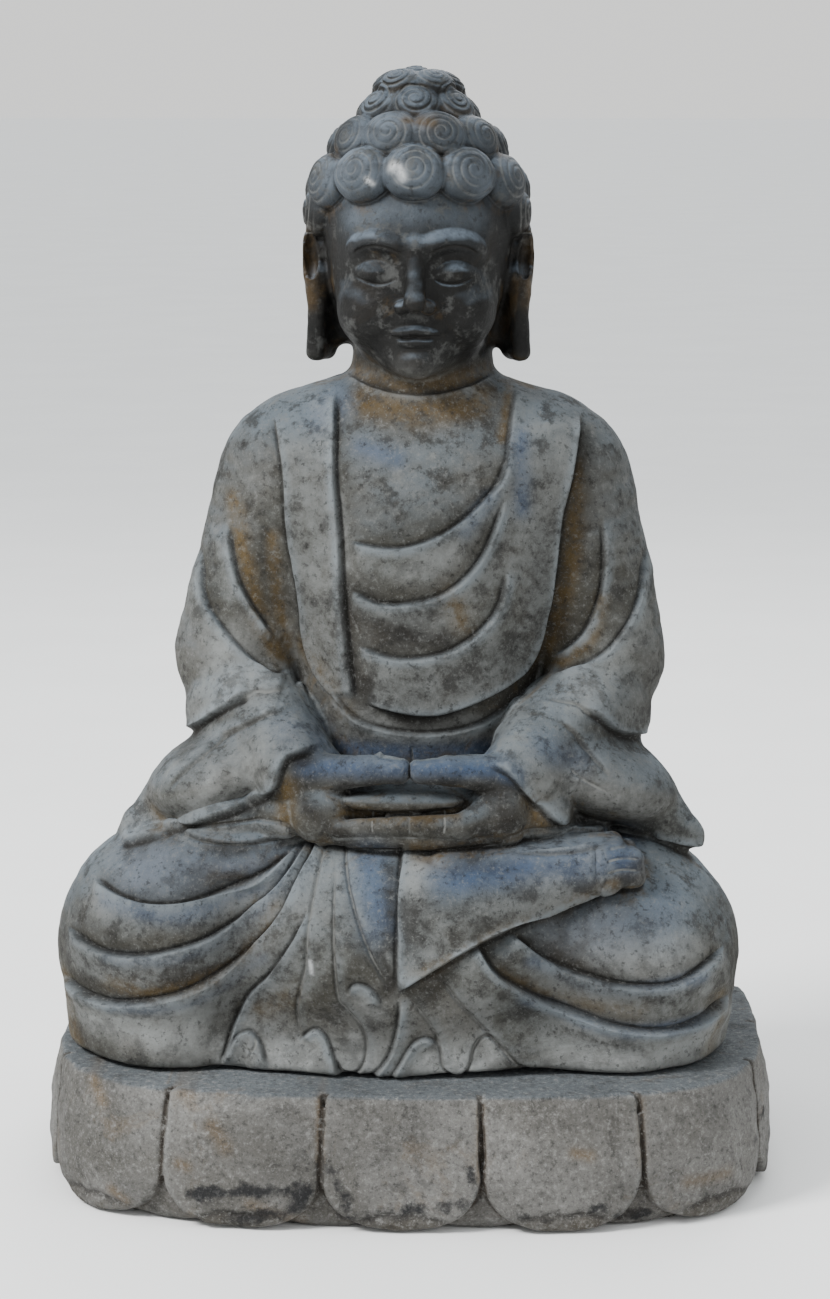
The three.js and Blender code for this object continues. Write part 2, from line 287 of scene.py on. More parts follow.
def curve_distance(flat, curve):
    """Signed distance from flat points to a curve, positive on its left, and the share along it."""
    start, end = curve[:-1], curve[1:]
    run = end - start
    length2 = (run**2).sum(1)
    best = np.full(len(flat), 1e9)
    signed = np.zeros(len(flat))
    along = np.zeros(len(flat))
    for i in range(len(start)):
        away = flat - start[i]
        share = np.clip(away @ run[i] / length2[i], 0, 1)
        gap = away - share[:, None] * run[i]
        size = np.sqrt((gap**2).sum(1))
        side = np.sign(run[i][0] * away[:, 1] - run[i][1] * away[:, 0])
        closer = size < best
        best[closer] = size[closer]
        signed[closer] = (side * size)[closer]
        along[closer] = ((i + share) / len(start))[closer]
    return signed, along


def ease(value, low, high):
    share = np.clip((value - low) / (high - low), 0, 1)
    return share * share * (3 - 2 * share)


def carve_lines(points, normal, lines, marks, look=-1):
    """Adds folds and grooves to marks, seen from the front (look -1) or from behind (look 1).
    A line is (height, width, groove, nib, points). Cloth is raised by height on the line's left, or on
    its right when height is negative, falls off over width, and is scooped on the other side. A
    groove of that depth and half width nib runs along the line. Stone that looks straight up or away
    is left alone."""
    facing = ease(normal[:, 1] * look, -0.15, 0.2) * ease(0.97 - normal[:, 2], 0, 0.1)
    flat = points[:, [0, 2]]
    for height, width, groove, nib, path in lines:
        curve = smooth_curve(path)
        length = np.sqrt((np.diff(curve, axis=0) ** 2).sum(1)).sum()
        reach = 2.2 * width + 3 * nib
        low, high = curve.min(0) - reach, curve.max(0) + reach
        near = np.flatnonzero(((flat > low) & (flat < high)).all(1) & (facing > 0))
        if not len(near):
            continue
        gap, along = curve_distance(flat[near], curve)
        if height < 0:
            gap = -gap
        size = abs(height)
        taper = min(0.2, 18 / length)
        fade = ease(along, 0, taper) * ease(1 - along, 0, taper) * facing[near]
        rise = ease(gap, -0.6, 3.2) * np.exp(-np.maximum(gap - 3, 0) / width)
        scoop = ease(-gap, -1.5, 2.5) * np.exp(np.minimum(gap, 0) / (0.55 * width))
        dip = np.exp(-((gap / nib) ** 2))
        strong = min(1.0, size / 5)
        marks["relief"][near] += fade * (size * (rise - 0.3 * scoop) - groove * dip)
        # These marks paint shade in the groove and in the scoop beside the raised cloth, and a highlight
        # along its crest; chalk lies in the fine grooves.
        for key, value in (
            ("chalk", dip * (1 - strong)),
            ("groove_shade", dip * (0.12 + 0.88 * strong)),
            ("crest_highlight", strong * np.exp(-(((gap - 4.5) / 4) ** 2))),
            ("hollow_shade", strong * scoop),
        ):
            marks[key][near] = np.maximum(marks[key][near], fade * value)


def lay_strokes(points, normal, strokes):
    """How strongly listed strokes, seen from the front, colour each point: weathering, and on the figure
    pale strokes of painted light.
    """
    facing = ease(-normal[:, 1], -0.25, 0.15)
    flat = points[:, [0, 2]]
    total = np.zeros(len(points))
    for radius, strength, path in strokes:
        curve = smooth_curve(path, 4)
        low, high = curve.min(0) - 2.5 * radius, curve.max(0) + 2.5 * radius
        near = np.flatnonzero(((flat > low) & (flat < high)).all(1) & (facing > 0))
        if len(near):
            gap = curve_distance(flat[near], curve)[0]
            value = strength * facing[near] * np.exp(-((gap / radius) ** 2))
            total[near] = np.maximum(total[near], value)
    return total


# ---------------------------------------------------------------- the figure's masses

HEAD_X = 6
NECK_TOP = 716
FIGURE_BOTTOM = 125.0
DOWEL_X = 110
DOWEL_Y = 15
SOCKET_RADIUS = 13.5
SOCKET_TOP = 176

LEGS = [
    add(0, ellipsoid((-6, 36, 190), (258, 130, 118))),
    add(40, ellipsoid((5, 62, 300), (150, 100, 130))),
    add(30, cone((-85, 50, 232), (-206, -62, 214), 100, 104)),
    add(20, ellipsoid((-212, -62, 212), (108, 123, 112))),
    add(16, ellipsoid((-207, -60, 138), (104, 124, 118))),
    add(30, cone((95, 50, 226), (188, -62, 206), 98, 102)),
    add(20, ellipsoid((192, -62, 206), (106, 122, 108))),
    add(16, ellipsoid((187, -60, 136), (100, 122, 114))),
    add(25, ellipsoid((0, -85, 215), (190, 122, 118))),
    add(18, ellipsoid((0, -106, 268), (132, 80, 60))),
    add(18, ellipsoid((-4, -62, 128), (256, 135, 100))),
]

TORSO = [
    add(40, cone((4, 20, 360), (8, 12, 540), 118, 112)),
    add(30, ellipsoid((8, 8, 575), (158, 100, 150))),
    add(30, cone((-96, 12, 644), (114, 12, 640), 66, 70)),
    add(25, ellipsoid((8, 14, 690), (96, 66, 38))),
    add(30, ellipsoid((6, 48, 520), (140, 80, 170))),
    add(12, cone((-116, 12, 634), (-158, -2, 468), 60, 58)),
    add(12, cone((138, 12, 628), (173, -2, 470), 62, 59)),
    add(8, cone((-152, -26, 428), (-98, -118, 384), 50, 36)),
    add(8, cone((167, -26, 430), (104, -118, 384), 51, 36)),
    add(14, cone((-164, -42, 374), (-240, -68, 324), 42, 12)),
    add(14, cone((176, -42, 372), (246, -68, 320), 42, 11)),
    # Each sleeve's fall to the lap, and the stone left between the forearm and the waist.
    add(14, ellipsoid((-166, -72, 375), (74, 60, 34), (0, -23, 0))),
    add(14, cone((-192, -58, 356), (-254, -70, 315), 32, 8)),
    add(14, ellipsoid((168, -72, 371), (74, 60, 36), (0, 18, 0))),
    add(14, cone((200, -58, 350), (258, -70, 312), 30, 8)),
    add(12, ellipsoid((-110, -52, 392), (40, 46, 46))),
    add(12, ellipsoid((116, -52, 392), (40, 46, 46))),
    # The lining of each sleeve, spread on the lap.
    add(24, ellipsoid((-142, -92, 302), (80, 62, 26))),
    add(8, ellipsoid((-146, -88, 320), (66, 58, 17))),
    add(10, ellipsoid((128, -82, 320), (50, 58, 19))),
    add(8, ellipsoid((-108, -104, 345), (35, 45, 30))),
    add(8, ellipsoid((-150, -86, 337), (52, 52, 22))),
    add(8, ellipsoid((113, -104, 345), (35, 45, 30))),
]

HANDS = [
    add(6, ellipsoid((4, -108, 352), (96, 46, 30))),
    *both_sides(lambda side: [
        add(6, cone((4 + side * 84, -118, 374), (4 + side * 78, -142, 350), 29, 27)),
        add(4, cone((4 + side * 84, -140, 385), (4 + side * 36, -158, 391), 19, 13.5)),
        add(2, cone((4 + side * 38, -158, 390), (4 + side * 10, -163, 391), 12.5, 9)),
    ]),
    # The gap inside the ring of thumbs and fingers, and the fingers that lie in it.
    cut(3, ellipsoid((0, -182, 363), (67, 35, 20))),
    add(2, ellipsoid((-6, -147, 362), (58, 19, 9.5))),
    add(3, cone((80, -150, 352), (50, -165, 344), 18, 11)),
    add(2, cone((50, -165, 344), (-60, -163, 340), 10, 8.5)),
    add(4, ellipsoid((2, -140, 330), (86, 30, 12))),
]

FOOT = [
    add(5, cone((28, -158, 266), (180, -126, 303), 50, 21)),
    add(3, block((110, -146, 306), (88, 27, 19), 14, (12, -3, 8))),
    add(2, block((189, -134, 304), (19, 28, 17), 9, (2, -3, 8))),
    cut(3, ellipsoid((167, -172, 312), (3.5, 13, 22))),
]

# ---------------------------------------------------------------- head


def brow_point(side, share):
    """A point on the arch of a brow, from beside the nose to the temple."""
    level = 835 + 13 * math.sin(math.pi * (0.12 + 0.76 * share))
    return HEAD_X + side * (8 + 50 * share), -88 + 24 * share**1.8, level


HEAD = [
    add(10, cone((10, 18, 690), (8, 22, 780), 71, 57)),
    add(14, ellipsoid((HEAD_X, 6, 858), (86, 93, 84))),
    add(12, ellipsoid((HEAD_X, -6, 815), (77, 84, 84))),
    add(14, ellipsoid((HEAD_X, -26, 776), (61, 58, 44))),
    add(12, ellipsoid((HEAD_X, -50, 750), (34, 34, 24))),
    add(10, ellipsoid((HEAD_X - 3, 12, 940), (50, 52, 50))),
    # The face, on the usual thirds: brows, closed eyes, nose, cheeks, and a long ear each side.
    *both_sides(lambda side: [
        cut(16, ellipsoid((HEAD_X + side * 33, -106, 828), (27, 18, 12), (0, side * 6, side * 20))),
        *[add(12, cone(brow_point(side, i / 6), brow_point(side, (i + 1) / 6), 2.6, 2.6 - 0.2 * i))
          for i in range(6)],
        add(5, ellipsoid((HEAD_X + side * 33, -64, 819), (19, 21, 12.5), (0, 0, side * 14))),
        add(16, ellipsoid((HEAD_X + side * 41, -50, 786), (28, 32, 30))),
        add(12, block((HEAD_X + side * 73, 26, 800), (17, 14, 50), 12)),
        add(6, ellipsoid((HEAD_X + side * 90, 12, 826), (9.5, 27, 38), (0, side * 4, side * 24))),
        add(12, block((HEAD_X + side * 87, 10, 778), (9, 19, 42), 8, (0, side * -3, side * 20))),
        cut(3, ellipsoid((HEAD_X + side * 97, -9, 831), (6, 10, 20), (0, side * 5, side * 24))),
    ]),
    add(10, cone((HEAD_X, -86, 844), (HEAD_X, -98, 800), 6, 8.5)),
    add(5, ellipsoid((HEAD_X, -100, 794), (9, 9.5, 8))),
    *both_sides(lambda side: [
        add(4, ellipsoid((HEAD_X + side * 11.5, -91, 790), (7, 9, 6))),
        cut(2, ellipsoid((HEAD_X + side * 6.5, -99, 783), (3.5, 4, 2.5))),
        add(3, ellipsoid((HEAD_X + side * 8, -81, 768.5), (14, 9, 4.8), (0, side * 8, side * 10))),
        cut(5, ellipsoid((HEAD_X + side * 27, -86, 765), (4, 6, 4))),
    ]),
    # Lower lip, the hollow under it, and the chin.
    add(3, ellipsoid((HEAD_X, -81, 759), (16, 9, 5.6))),
    cut(7, ellipsoid((HEAD_X, -96, 749), (15, 9, 4))),
    add(10, ellipsoid((HEAD_X, -74, 739), (17, 14, 12))),
]

# Rings of snail curls: height at the front, drop to the back, half width, half depth, curl radius, count,
# start and the nearest a curl may come to the front, in degrees.
CURL_RINGS = [
    (907, 30, 83, 86, 25, 11, 0, 0),
    (937, 22, 63, 66, 24, 10, 18, 0),
    (961, 8, 38, 40, 22, 7, 0, 0),
    (981, 2, 24, 26, 19, 5, 36, 0),
    (886, 36, 86, 88, 23, 11, 16, 80),
    (858, 40, 84, 88, 22, 11, 0, 92),
    (826, 38, 76, 82, 21, 11, 16, 104),
    (796, 32, 66, 76, 18, 11, 0, 120),
]


def curl_list():
    """Each curl's centre, outward direction and radius."""
    curls = []
    for height, drop, wide, deep, radius, count, start, nearest in CURL_RINGS:
        for i in range(count):
            angle = (start + i * 360 / count + 180) % 360 - 180
            if abs(angle) < nearest:
                continue
            turn = math.radians(angle)
            level = height - drop * (1 - math.cos(turn)) / 2
            centre = np.array((HEAD_X - 1 + wide * math.sin(turn), 8 - deep * math.cos(turn), level))
            lift = max(level - 866, 0) * (0.42 if level > 920 else 0.8)
            outward = centre - np.array((HEAD_X, 10, level - lift))
            curls.append((centre, outward / np.linalg.norm(outward), radius))
    curls.append((np.array((HEAD_X - 3.0, 12.0, 985.0)), np.array((0.0, -0.1, 0.995)), 18))
    return curls


def curl_axes(outward):
    """The two directions across a curl: sideways, then up."""
    side = np.cross((0, 1, 0) if abs(outward[2]) > 0.9 else (0, 0, 1), outward)
    side /= np.linalg.norm(side)
    return side, np.cross(outward, side)


def curl_shape(centre, outward, radius):
    """A curl is a flattened ball, a little wider than it is high."""
    axes = np.stack([*curl_axes(outward), outward], 1)
    return ellipsoid_along(centre, np.array((1.12, 1.0, 0.76)) * radius, axes)


CURLS = curl_list()
HAIR = [add(2.5, curl_shape(*curl)) for curl in CURLS]

FIGURE = LEGS + TORSO + FOOT + HANDS + HEAD + HAIR


def figure_bottom(points):
    """The underside, a little uneven so that the joint gapes here and there."""
    x, y = points[:, 0], points[:, 1]
    wave = np.sin(x * 0.021 + 1.3) + 0.6 * np.sin(x * 0.047 + y * 0.02) + 0.4 * np.sin(x * 0.11)
    open_joint = 3.2 * np.exp(-(((x - 104) / 46) ** 2)) * ease(-y, 60, 120)
    return FIGURE_BOTTOM + 0.7 + 0.45 * wave + open_joint


def figure_field(points):
    result = field(points, FIGURE)
    result = -soft_min(-result, points[:, 2] - figure_bottom(points), 5)
    for side in (-1, 1):
        foot, top = (side * DOWEL_X, DOWEL_Y, 60), (side * DOWEL_X, DOWEL_Y, SOCKET_TOP)
        socket = cone(foot, top, SOCKET_RADIUS, SOCKET_RADIUS)[0]
        near = np.hypot(points[:, 0] - side * DOWEL_X, points[:, 1] - DOWEL_Y) < 3 * SOCKET_RADIUS
        result[near] = np.maximum(result[near], -socket(points[near]))
    return result


# ---------------------------------------------------------------- folds, seen from the front

FOLDS = [
    # The robe's edges on the chest, and the cloth under them.
    (5, 26, 2.5, 1.7, [(-46, 440), (-52, 484), (-59, 584), (-64, 647), (-65, 712)]),
    (3, 24, 2.5, 1.7, [(-124, 690), (-115, 645), (-110, 587), (-102, 535), (-96, 485), (-82, 453),
                       (-50, 424)]),
    (3, 20, 1.5, 1.6, [(93, 716), (88, 674), (82, 638), (62, 616)]),
    (8, 30, 2.0, 1.8, [(-40, 437), (10, 427), (45, 432), (98, 457), (118, 494), (130, 543), (137, 601),
                       (147, 643), (154, 692)]),
    (-5, 20, 2.0, 1.6, [(-54, 584), (-7, 580), (37, 596), (73, 628), (86, 655)]),
    (-5, 20, 2.0, 1.6, [(-51, 541), (-20, 530), (29, 539), (64, 571), (84, 624)]),
    (-5, 20, 2.0, 1.6, [(-46, 490), (-6, 481), (38, 489), (73, 518), (86, 560)]),
    (-4, 14, 2.0, 1.6, [(-66, 445), (-42, 422), (11, 413), (65, 420), (107, 445)]),
    # The sleeves: folds below the shoulder, the crease at the elbow, folds over the wrist, the hem.
    (-4, 20, 2.2, 1.6, [(-189, 566), (-184, 525), (-158, 489), (-128, 462), (-110, 457)]),
    (-4, 18, 2.2, 1.6, [(-164, 594), (-151, 539), (-119, 488)]),
    (4, 18, 2.2, 1.6, [(172, 602), (173, 553), (168, 525), (154, 496), (127, 472)]),
    (4, 20, 2.2, 1.6, [(210, 568), (205, 527), (187, 494), (163, 473), (124, 460)]),
    (6, 24, 2.0, 1.8, [(-216, 388), (-199, 400), (-176, 420), (-152, 437), (-138, 444)]),
    (1, 18, 1.8, 1.5, [(-156, 434), (-138, 446), (-125, 446), (-106, 447)]),
    (2, 18, 1.6, 1.5, [(-211, 363), (-194, 384), (-164, 409), (-143, 420), (-125, 429), (-98, 437)]),
    (-6, 24, 2.0, 1.8, [(230, 392), (217, 399), (201, 403), (182, 413), (168, 426), (150, 438)]),
    (1, 18, 1.8, 1.5, [(168, 426), (153, 437), (139, 442), (118, 445)]),
    (-2, 18, 1.6, 1.5, [(182, 376), (168, 392), (155, 406), (146, 418), (130, 429)]),
    (0, 18, 1.4, 1.5, [(182, 365), (155, 379), (143, 389)]),
    (6, 26, 2.0, 1.7, [(-262, 308), (-244, 313), (-208, 324), (-175, 338), (-151, 347), (-129, 358),
                       (-113, 373), (-109, 386), (-101, 399), (-72, 409)]),
    (-6, 22, 2.0, 1.7, [(268, 304), (250, 308), (234, 312), (216, 317)]),
    (-6, 26, 2.0, 1.7, [(146, 337), (134, 339), (122, 350), (111, 361), (97, 379), (86, 390), (70, 397)]),
    (-2, 10, 1.6, 1.5, [(-206, 323), (-187, 331), (-144, 340), (-111, 342), (-95, 334)]),
    (2, 10, 1.8, 1.5, [(-205, 325), (-183, 322), (-147, 321), (-111, 325), (-93, 329)]),
    (-2, 10, 1.6, 1.5, [(78, 327), (94, 333), (111, 337), (138, 336), (161, 332), (178, 327)]),
    (2, 10, 1.8, 1.5, [(78, 323), (120, 319), (155, 320), (178, 325)]),
    # The knee on the left.
    (-8, 22, 3.0, 1.7, [(-281, 285), (-256, 277), (-228, 272), (-195, 273), (-162, 280), (-129, 295),
                        (-94, 322)]),
    (-8, 22, 3.0, 1.7, [(-304, 240), (-271, 230), (-236, 229), (-203, 235), (-170, 245), (-139, 263),
                         (-111, 287), (-88, 325)]),
    (-8, 22, 3.0, 1.7, [(-312, 194), (-283, 186), (-252, 185), (-218, 191), (-188, 200), (-157, 217),
                         (-132, 237), (-106, 266), (-87, 302), (-78, 328)]),
    (-6, 18, 2.5, 1.6, [(-164, 126), (-157, 146), (-152, 163), (-138, 191), (-117, 214), (-96, 244),
                        (-82, 270)]),
    # The fan of folds in the middle, and the flap that hangs over it.
    (1, 12, 2.4, 1.5, [(-67, 328), (-79, 273), (-85, 224), (-94, 187), (-93, 158)]),
    (1, 12, 2.4, 1.5, [(-60, 316), (-61, 259), (-58, 201), (-51, 187), (-39, 173), (-33, 157), (-35, 138),
                       (-43, 127), (-55, 129), (-59, 143)]),
    (1, 12, 2.4, 1.5, [(-54, 328), (-48, 290), (-32, 244), (-14, 210)]),
    (-4, 18, 3.0, 2.0, [(-6, 200), (-6, 261), (-3, 330)]),
    # The shin and the knee on the right.
    (9, 26, 3.0, 1.8, [(-6, 203), (30, 225), (64, 243), (127, 267), (200, 291)]),
    (-8, 22, 3.0, 1.7, [(91, 256), (128, 226), (170, 211), (213, 206), (246, 209), (284, 228)]),
    (-9, 22, 3.0, 1.7, [(62, 250), (79, 222), (104, 203), (128, 189), (180, 171), (224, 164), (257, 167),
                        (290, 180)]),
    (1, 14, 2.2, 1.5, [(32, 219), (42, 203), (53, 188), (69, 168), (86, 148), (101, 132), (118, 127)]),
    (1, 12, 2.2, 1.5, [(2, 204), (12, 190), (24, 171), (31, 152), (34, 135), (42, 125), (52, 125),
                       (58, 135), (61, 148), (67, 158), (75, 160), (86, 152)]),
    # The curled ends of the hem.
    (-4, 11, 2.0, 1.5, [(-157, 134), (-153, 148), (-145, 156), (-134, 158), (-126, 148), (-122, 135),
                        (-116, 126)]),
    (0, 8, 1.6, 1.5, [(-134, 156), (-130, 148), (-134, 141), (-141, 144), (-141, 149)]),
    (-4, 11, 2.0, 1.5, [(-92, 152), (-88, 159), (-78, 165), (-68, 158), (-62, 143), (-57, 129),
                        (-49, 122)]),
    (-4, 11, 2.0, 1.5, [(-50, 200), (-44, 210), (-33, 210), (-22, 201), (-18, 190)]),
    (-4, 12, 2.0, 1.6, [(-33, 121), (-20, 134), (-11, 150), (-5, 178), (-4, 202)]),
    (4, 11, 2.0, 1.5, [(30, 152), (26, 158), (19, 161), (10, 158), (2, 148), (-7, 132), (-18, 119)]),
    # Creases in the neck.
    (-3, 10, 1.2, 1.7, [(-60, 727), (-30, 716), (8, 711), (46, 716), (76, 727)]),
    # Fingers and toes.
    (0, 6, 1.4, 1.3, [(4, 402), (4, 394), (5, 381)]),
    (0, 6, 1.2, 1.3, [(-28, 356), (-29, 345), (-28, 336)]),
    (0, 6, 1.2, 1.3, [(4, 356), (4, 345), (4, 335)]),
    (0, 6, 1.2, 1.3, [(34, 357), (35, 347), (34, 337)]),
    (0, 6, 1.4, 1.4, [(176, 321), (190, 324), (206, 322)]),
    (0, 6, 1.4, 1.4, [(174, 312), (190, 315), (207, 313)]),
    (0, 6, 1.4, 1.4, [(174, 303), (190, 305), (207, 303)]),
]

# The back is plain: the robe's edge over the shoulder, a few soft folds, and the seat's hem.
BACK_FOLDS = [
    (6, 34, 2.0, 1.8, [(120, 700), (60, 640), (-20, 560), (-90, 470), (-130, 400)]),
    (5, 30, 1.6, 1.8, [(150, 640), (96, 560), (30, 470), (-40, 390)]),
    (5, 30, 1.6, 1.8, [(176, 560), (130, 480), (70, 400)]),
    (-5, 26, 1.8, 1.8, [(-190, 250), (-100, 222), (0, 214), (100, 222), (190, 248)]),
    (-5, 26, 1.8, 1.8, [(-210, 190), (-110, 168), (0, 162), (110, 168), (206, 188)]),
]

# Lines of the face: the lips' parting, each eye's opening, each upper lid's fold and each brow's edge.
FACE_LINES = [
    (0, 6, 2.0, 1.3, [(-20, 766), (-11, 764), (-2, 763.2), (6, 764.2), (14, 763.2), (23, 764), (32, 766)]),
    *both_sides(lambda side: [
        (0, 6, 2.4, 1.3, [(HEAD_X + side * u, v) for u, v in
                          ((15, 817), (24, 812), (34, 810.5), (44, 812.5), (54, 818))][::side]),
        (0, 6, 1.0, 1.3, [(HEAD_X + side * u, v) for u, v in
                          ((17, 823), (25, 830), (35, 832), (46, 829.5), (56, 822))][::side]),
        (1.6, 7, 0.9, 1.2, [(HEAD_X + side * u, v) for u, v in
                            ((9, 835), (20, 841), (33, 844), (46, 842), (57, 835))][::side]),
    ]),
]

# Weathering on the front, and pale strokes of painted light, laid stroke by stroke: radius, strength and
# the stroke's points.
FRONT_STROKES = {
    "ochre": [
        (14, 0.85, [(-37, 703), (9, 697), (61, 705)]),
        (8, 0.7, [(-52, 728), (8, 718), (66, 728)]),
        (8, 0.9, [(-159, 615), (-148, 561), (-133, 506), (-115, 468)]),
        (6, 0.8, [(-123, 583), (-119, 528), (-107, 467)]),
        (9, 0.8, [(-94, 484), (-71, 453), (-55, 429)]),
        (9, 0.9, [(150, 646), (144, 565), (127, 493), (117, 467)]),
        (6, 0.9, [(173, 528), (162, 491), (135, 469)]),
        (10, 0.8, [(38, 536), (48, 512)]),
        (5, 0.8, [(88, 714), (83, 671)]),
        (9, 0.9, [(-106, 375), (-106, 341)]),
        (9, 0.9, [(111, 363), (118, 343)]),
        (10, 1.0, [(9, 319), (32, 319)]),
        (6, 0.9, [(-53, 353), (4, 351), (44, 355)]),
        (6, 0.8, [(14, 220), (66, 249), (136, 275), (183, 293)]),
        (8, 0.7, [(-309, 191), (-306, 149), (-294, 126)]),
        (8, 0.6, [(-259, 202), (-206, 197), (-144, 222), (-109, 267)]),
        (8, 0.5, [(84, 216), (136, 194), (206, 184)]),
        (9, 0.5, [(-125, 178), (-91, 201)]),
        (8, 0.7, [(278, 181), (268, 130)]),
        (6, 1.0, [(-2, 951), (20, 951)]),
        (8, 0.8, [(-96, 849), (-91, 790)]),
        (8, 0.8, [(111, 849), (107, 791)]),
    ],
    "blue": [
        (24, 0.5, [(-239, 292), (-185, 298), (-109, 299)]),
        (8, 0.9, [(-264, 270), (-196, 262), (-127, 285)]),
        (6, 0.8, [(-259, 222), (-197, 226), (-135, 255), (-102, 297)]),
        (6, 0.6, [(-259, 180), (-188, 188), (-122, 228)]),
        (18, 0.8, [(-31, 311), (-21, 262)]),
        (14, 1.0, [(31, 302), (110, 306), (193, 314)]),
        (24, 0.4, [(140, 246), (225, 264)]),
        (6, 0.8, [(110, 228), (172, 203), (259, 208)]),
        (6, 0.8, [(102, 196), (181, 165), (264, 166)]),
        (9, 1.0, [(-88, 392), (-48, 395), (65, 395), (96, 386)]),
        (8, 1.0, [(98, 673), (99, 610)]),
        (7, 0.8, [(72, 621), (50, 594)]),
        (9, 0.6, [(-42, 665), (-11, 656)]),
        (12, 0.5, [(-108, 419), (-77, 408)]),
        (12, 0.5, [(118, 407), (153, 394)]),
        (14, 0.5, [(-62, 706), (-79, 688)]),
    ],
    "dark": [
        (26, 0.7, [(-37, 454), (20, 454), (78, 481)]),
        (16, 1.0, [(-44, 712), (8, 706), (62, 712)]),
        (24, 0.9, [(-40, 512), (32, 500)]),
        (20, 1.0, [(12, 282), (22, 232)]),
        (16, 0.6, [(60, 262), (110, 284)]),
        (8, 0.8, [(-55, 543), (-49, 444)]),
        (15, 0.8, [(121, 586), (108, 514), (73, 460)]),
        (10, 0.7, [(-93, 371), (-75, 349), (-53, 328)]),
        (14, 0.9, [(83, 368), (87, 341), (57, 323)]),
        (6, 0.9, [(-57, 376), (4, 382), (66, 376)]),
        (20, 1.0, [(-288, 214), (-250, 209), (-188, 212), (-135, 246)]),
        (14, 0.6, [(-40, 698), (9, 692), (60, 700)]),
        (10, 0.7, [(-126, 192), (-91, 237)]),
        (10, 0.8, [(136, 214), (198, 196), (241, 195)]),
        (9, 0.7, [(93, 188), (137, 162), (207, 146)]),
        (8, 0.9, [(-12, 303), (-13, 209)]),
        (9, 0.6, [(31, 275), (118, 285), (188, 294)]),
        (12, 0.6, [(-212, 436), (-196, 408)]),
        (12, 0.8, [(191, 415), (222, 420)]),
    ],
    # Painted light: pale strokes that lift stone left in shade.
    "painted_light": [
        (16, 0.55, [(-268, 163), (-197, 150), (-127, 135), (-56, 132)]),
        (22, 1.0, [(-150, 136), (-60, 133), (56, 134)]),
        (22, 0.9, [(-66, 900), (6, 906), (78, 900)]),
        (20, 0.8, [(-44, 936), (6, 940), (56, 936)]),
        (22, 1.0, [(137, 140), (207, 138), (264, 152)]),
        (26, 0.6, [(146, 236), (236, 226)]),
        (22, 0.45, [(-236, 286), (-130, 290)]),
        (16, 0.9, [(-42, 868), (6, 874), (54, 868)]),
        (26, 0.45, [(150, 372), (206, 352)]),
        (9, 0.9, [(-140, 150), (-135, 138)]),
        (9, 0.9, [(-78, 157), (-65, 144)]),
        (8, 0.9, [(-43, 158), (-46, 139)]),
        (9, 0.7, [(-34, 200), (-25, 185)]),
        (9, 0.9, [(17, 154), (22, 140)]),
        (9, 0.9, [(73, 155), (80, 142)]),
        (8, 0.9, [(12, 309), (11, 280)]),
        (9, 0.7, [(-55, 432), (-6, 416), (56, 420)]),
        (10, 0.5, [(38, 574), (-7, 556)]),
        (8, 0.6, [(-63, 619), (-57, 566)]),
        (18, 0.5, [(-162, 485), (-144, 453)]),
        (18, 0.4, [(163, 446), (198, 491)]),
        (18, 0.5, [(-172, 371), (-140, 381)]),
    ],
    "white": [
        (4.5, 1.0, [(-13, 912), (-7, 909), (-5, 903)]),
        (2.5, 0.9, [(-36, 901), (-31, 898)]),
        (1.6, 0.9, [(-80, 229), (-79, 219)]),
    ],
}

PLINTH_STAINS = {
    "dark": [
        (8, 1.0, [(-186, 31), (-140, 38), (-101, 40)]),
        (10, 1.0, [(-149, 11), (-96, 20), (-86, 40)]),
        (12, 0.9, [(-70, 63), (-57, 50), (-49, 27)]),
        (9, 0.9, [(-53, 12), (-1, 20), (51, 29)]),
        (6, 0.8, [(59, 60), (66, 29)]),
        (7, 0.8, [(94, 17), (137, 16), (172, 24)]),
        (8, 1.0, [(189, 12), (215, 12)]),
        (5, 0.8, [(309, 53), (322, 71)]),
    ],
    "ochre": [
        (6, 0.8, [(-274, 118), (-265, 102)]),
        (6, 0.6, [(-195, 119), (-184, 116)]),
        (7, 0.6, [(-165, 93), (-153, 75)]),
        (5, 0.7, [(-194, 58), (-187, 56)]),
        (4, 1.0, [(-70, 118), (-70, 66)]),
        (4, 0.8, [(68, 113), (68, 50)]),
        (4, 0.6, [(206, 114), (208, 60)]),
        (5, 0.8, [(150, 74), (163, 71)]),
        (5, 0.8, [(-257, 25), (-244, 16)]),
        (6, 0.6, [(-131, 25), (-88, 8)]),
        (6, 0.6, [(249, 39), (284, 39)]),
    ],
}

# ---------------------------------------------------------------- the plinth

PLINTH_HEIGHT = 122.0
PLAN_HALF = np.array((322.0, 246.0))
PLAN_POWER = 3.4
PETAL_POWER = 2.3
PETAL_FLARE = 8.0
# The share of the height at which the petals swell out most.
FLARE_SHARE = 0.29
BORE_RADIUS = 15.2
BORE_FLOOR = 54
FRONT_EDGES = (-207, -69, 69, 207)
SIDE_EDGES = (-125, 0, 125)


def plan_distance(x, y):
    """Distance from the plinth's superellipse plan, negative inside."""
    u, v = np.abs(x) / PLAN_HALF[0], np.abs(y) / PLAN_HALF[1]
    size = np.maximum((u**PLAN_POWER + v**PLAN_POWER) ** (1 / PLAN_POWER), 0.05)
    slope = size ** (1 - PLAN_POWER) * np.hypot(
        u ** (PLAN_POWER - 1) / PLAN_HALF[0], v ** (PLAN_POWER - 1) / PLAN_HALF[1])
    return (size - 1) / np.maximum(slope, 1 / 400)


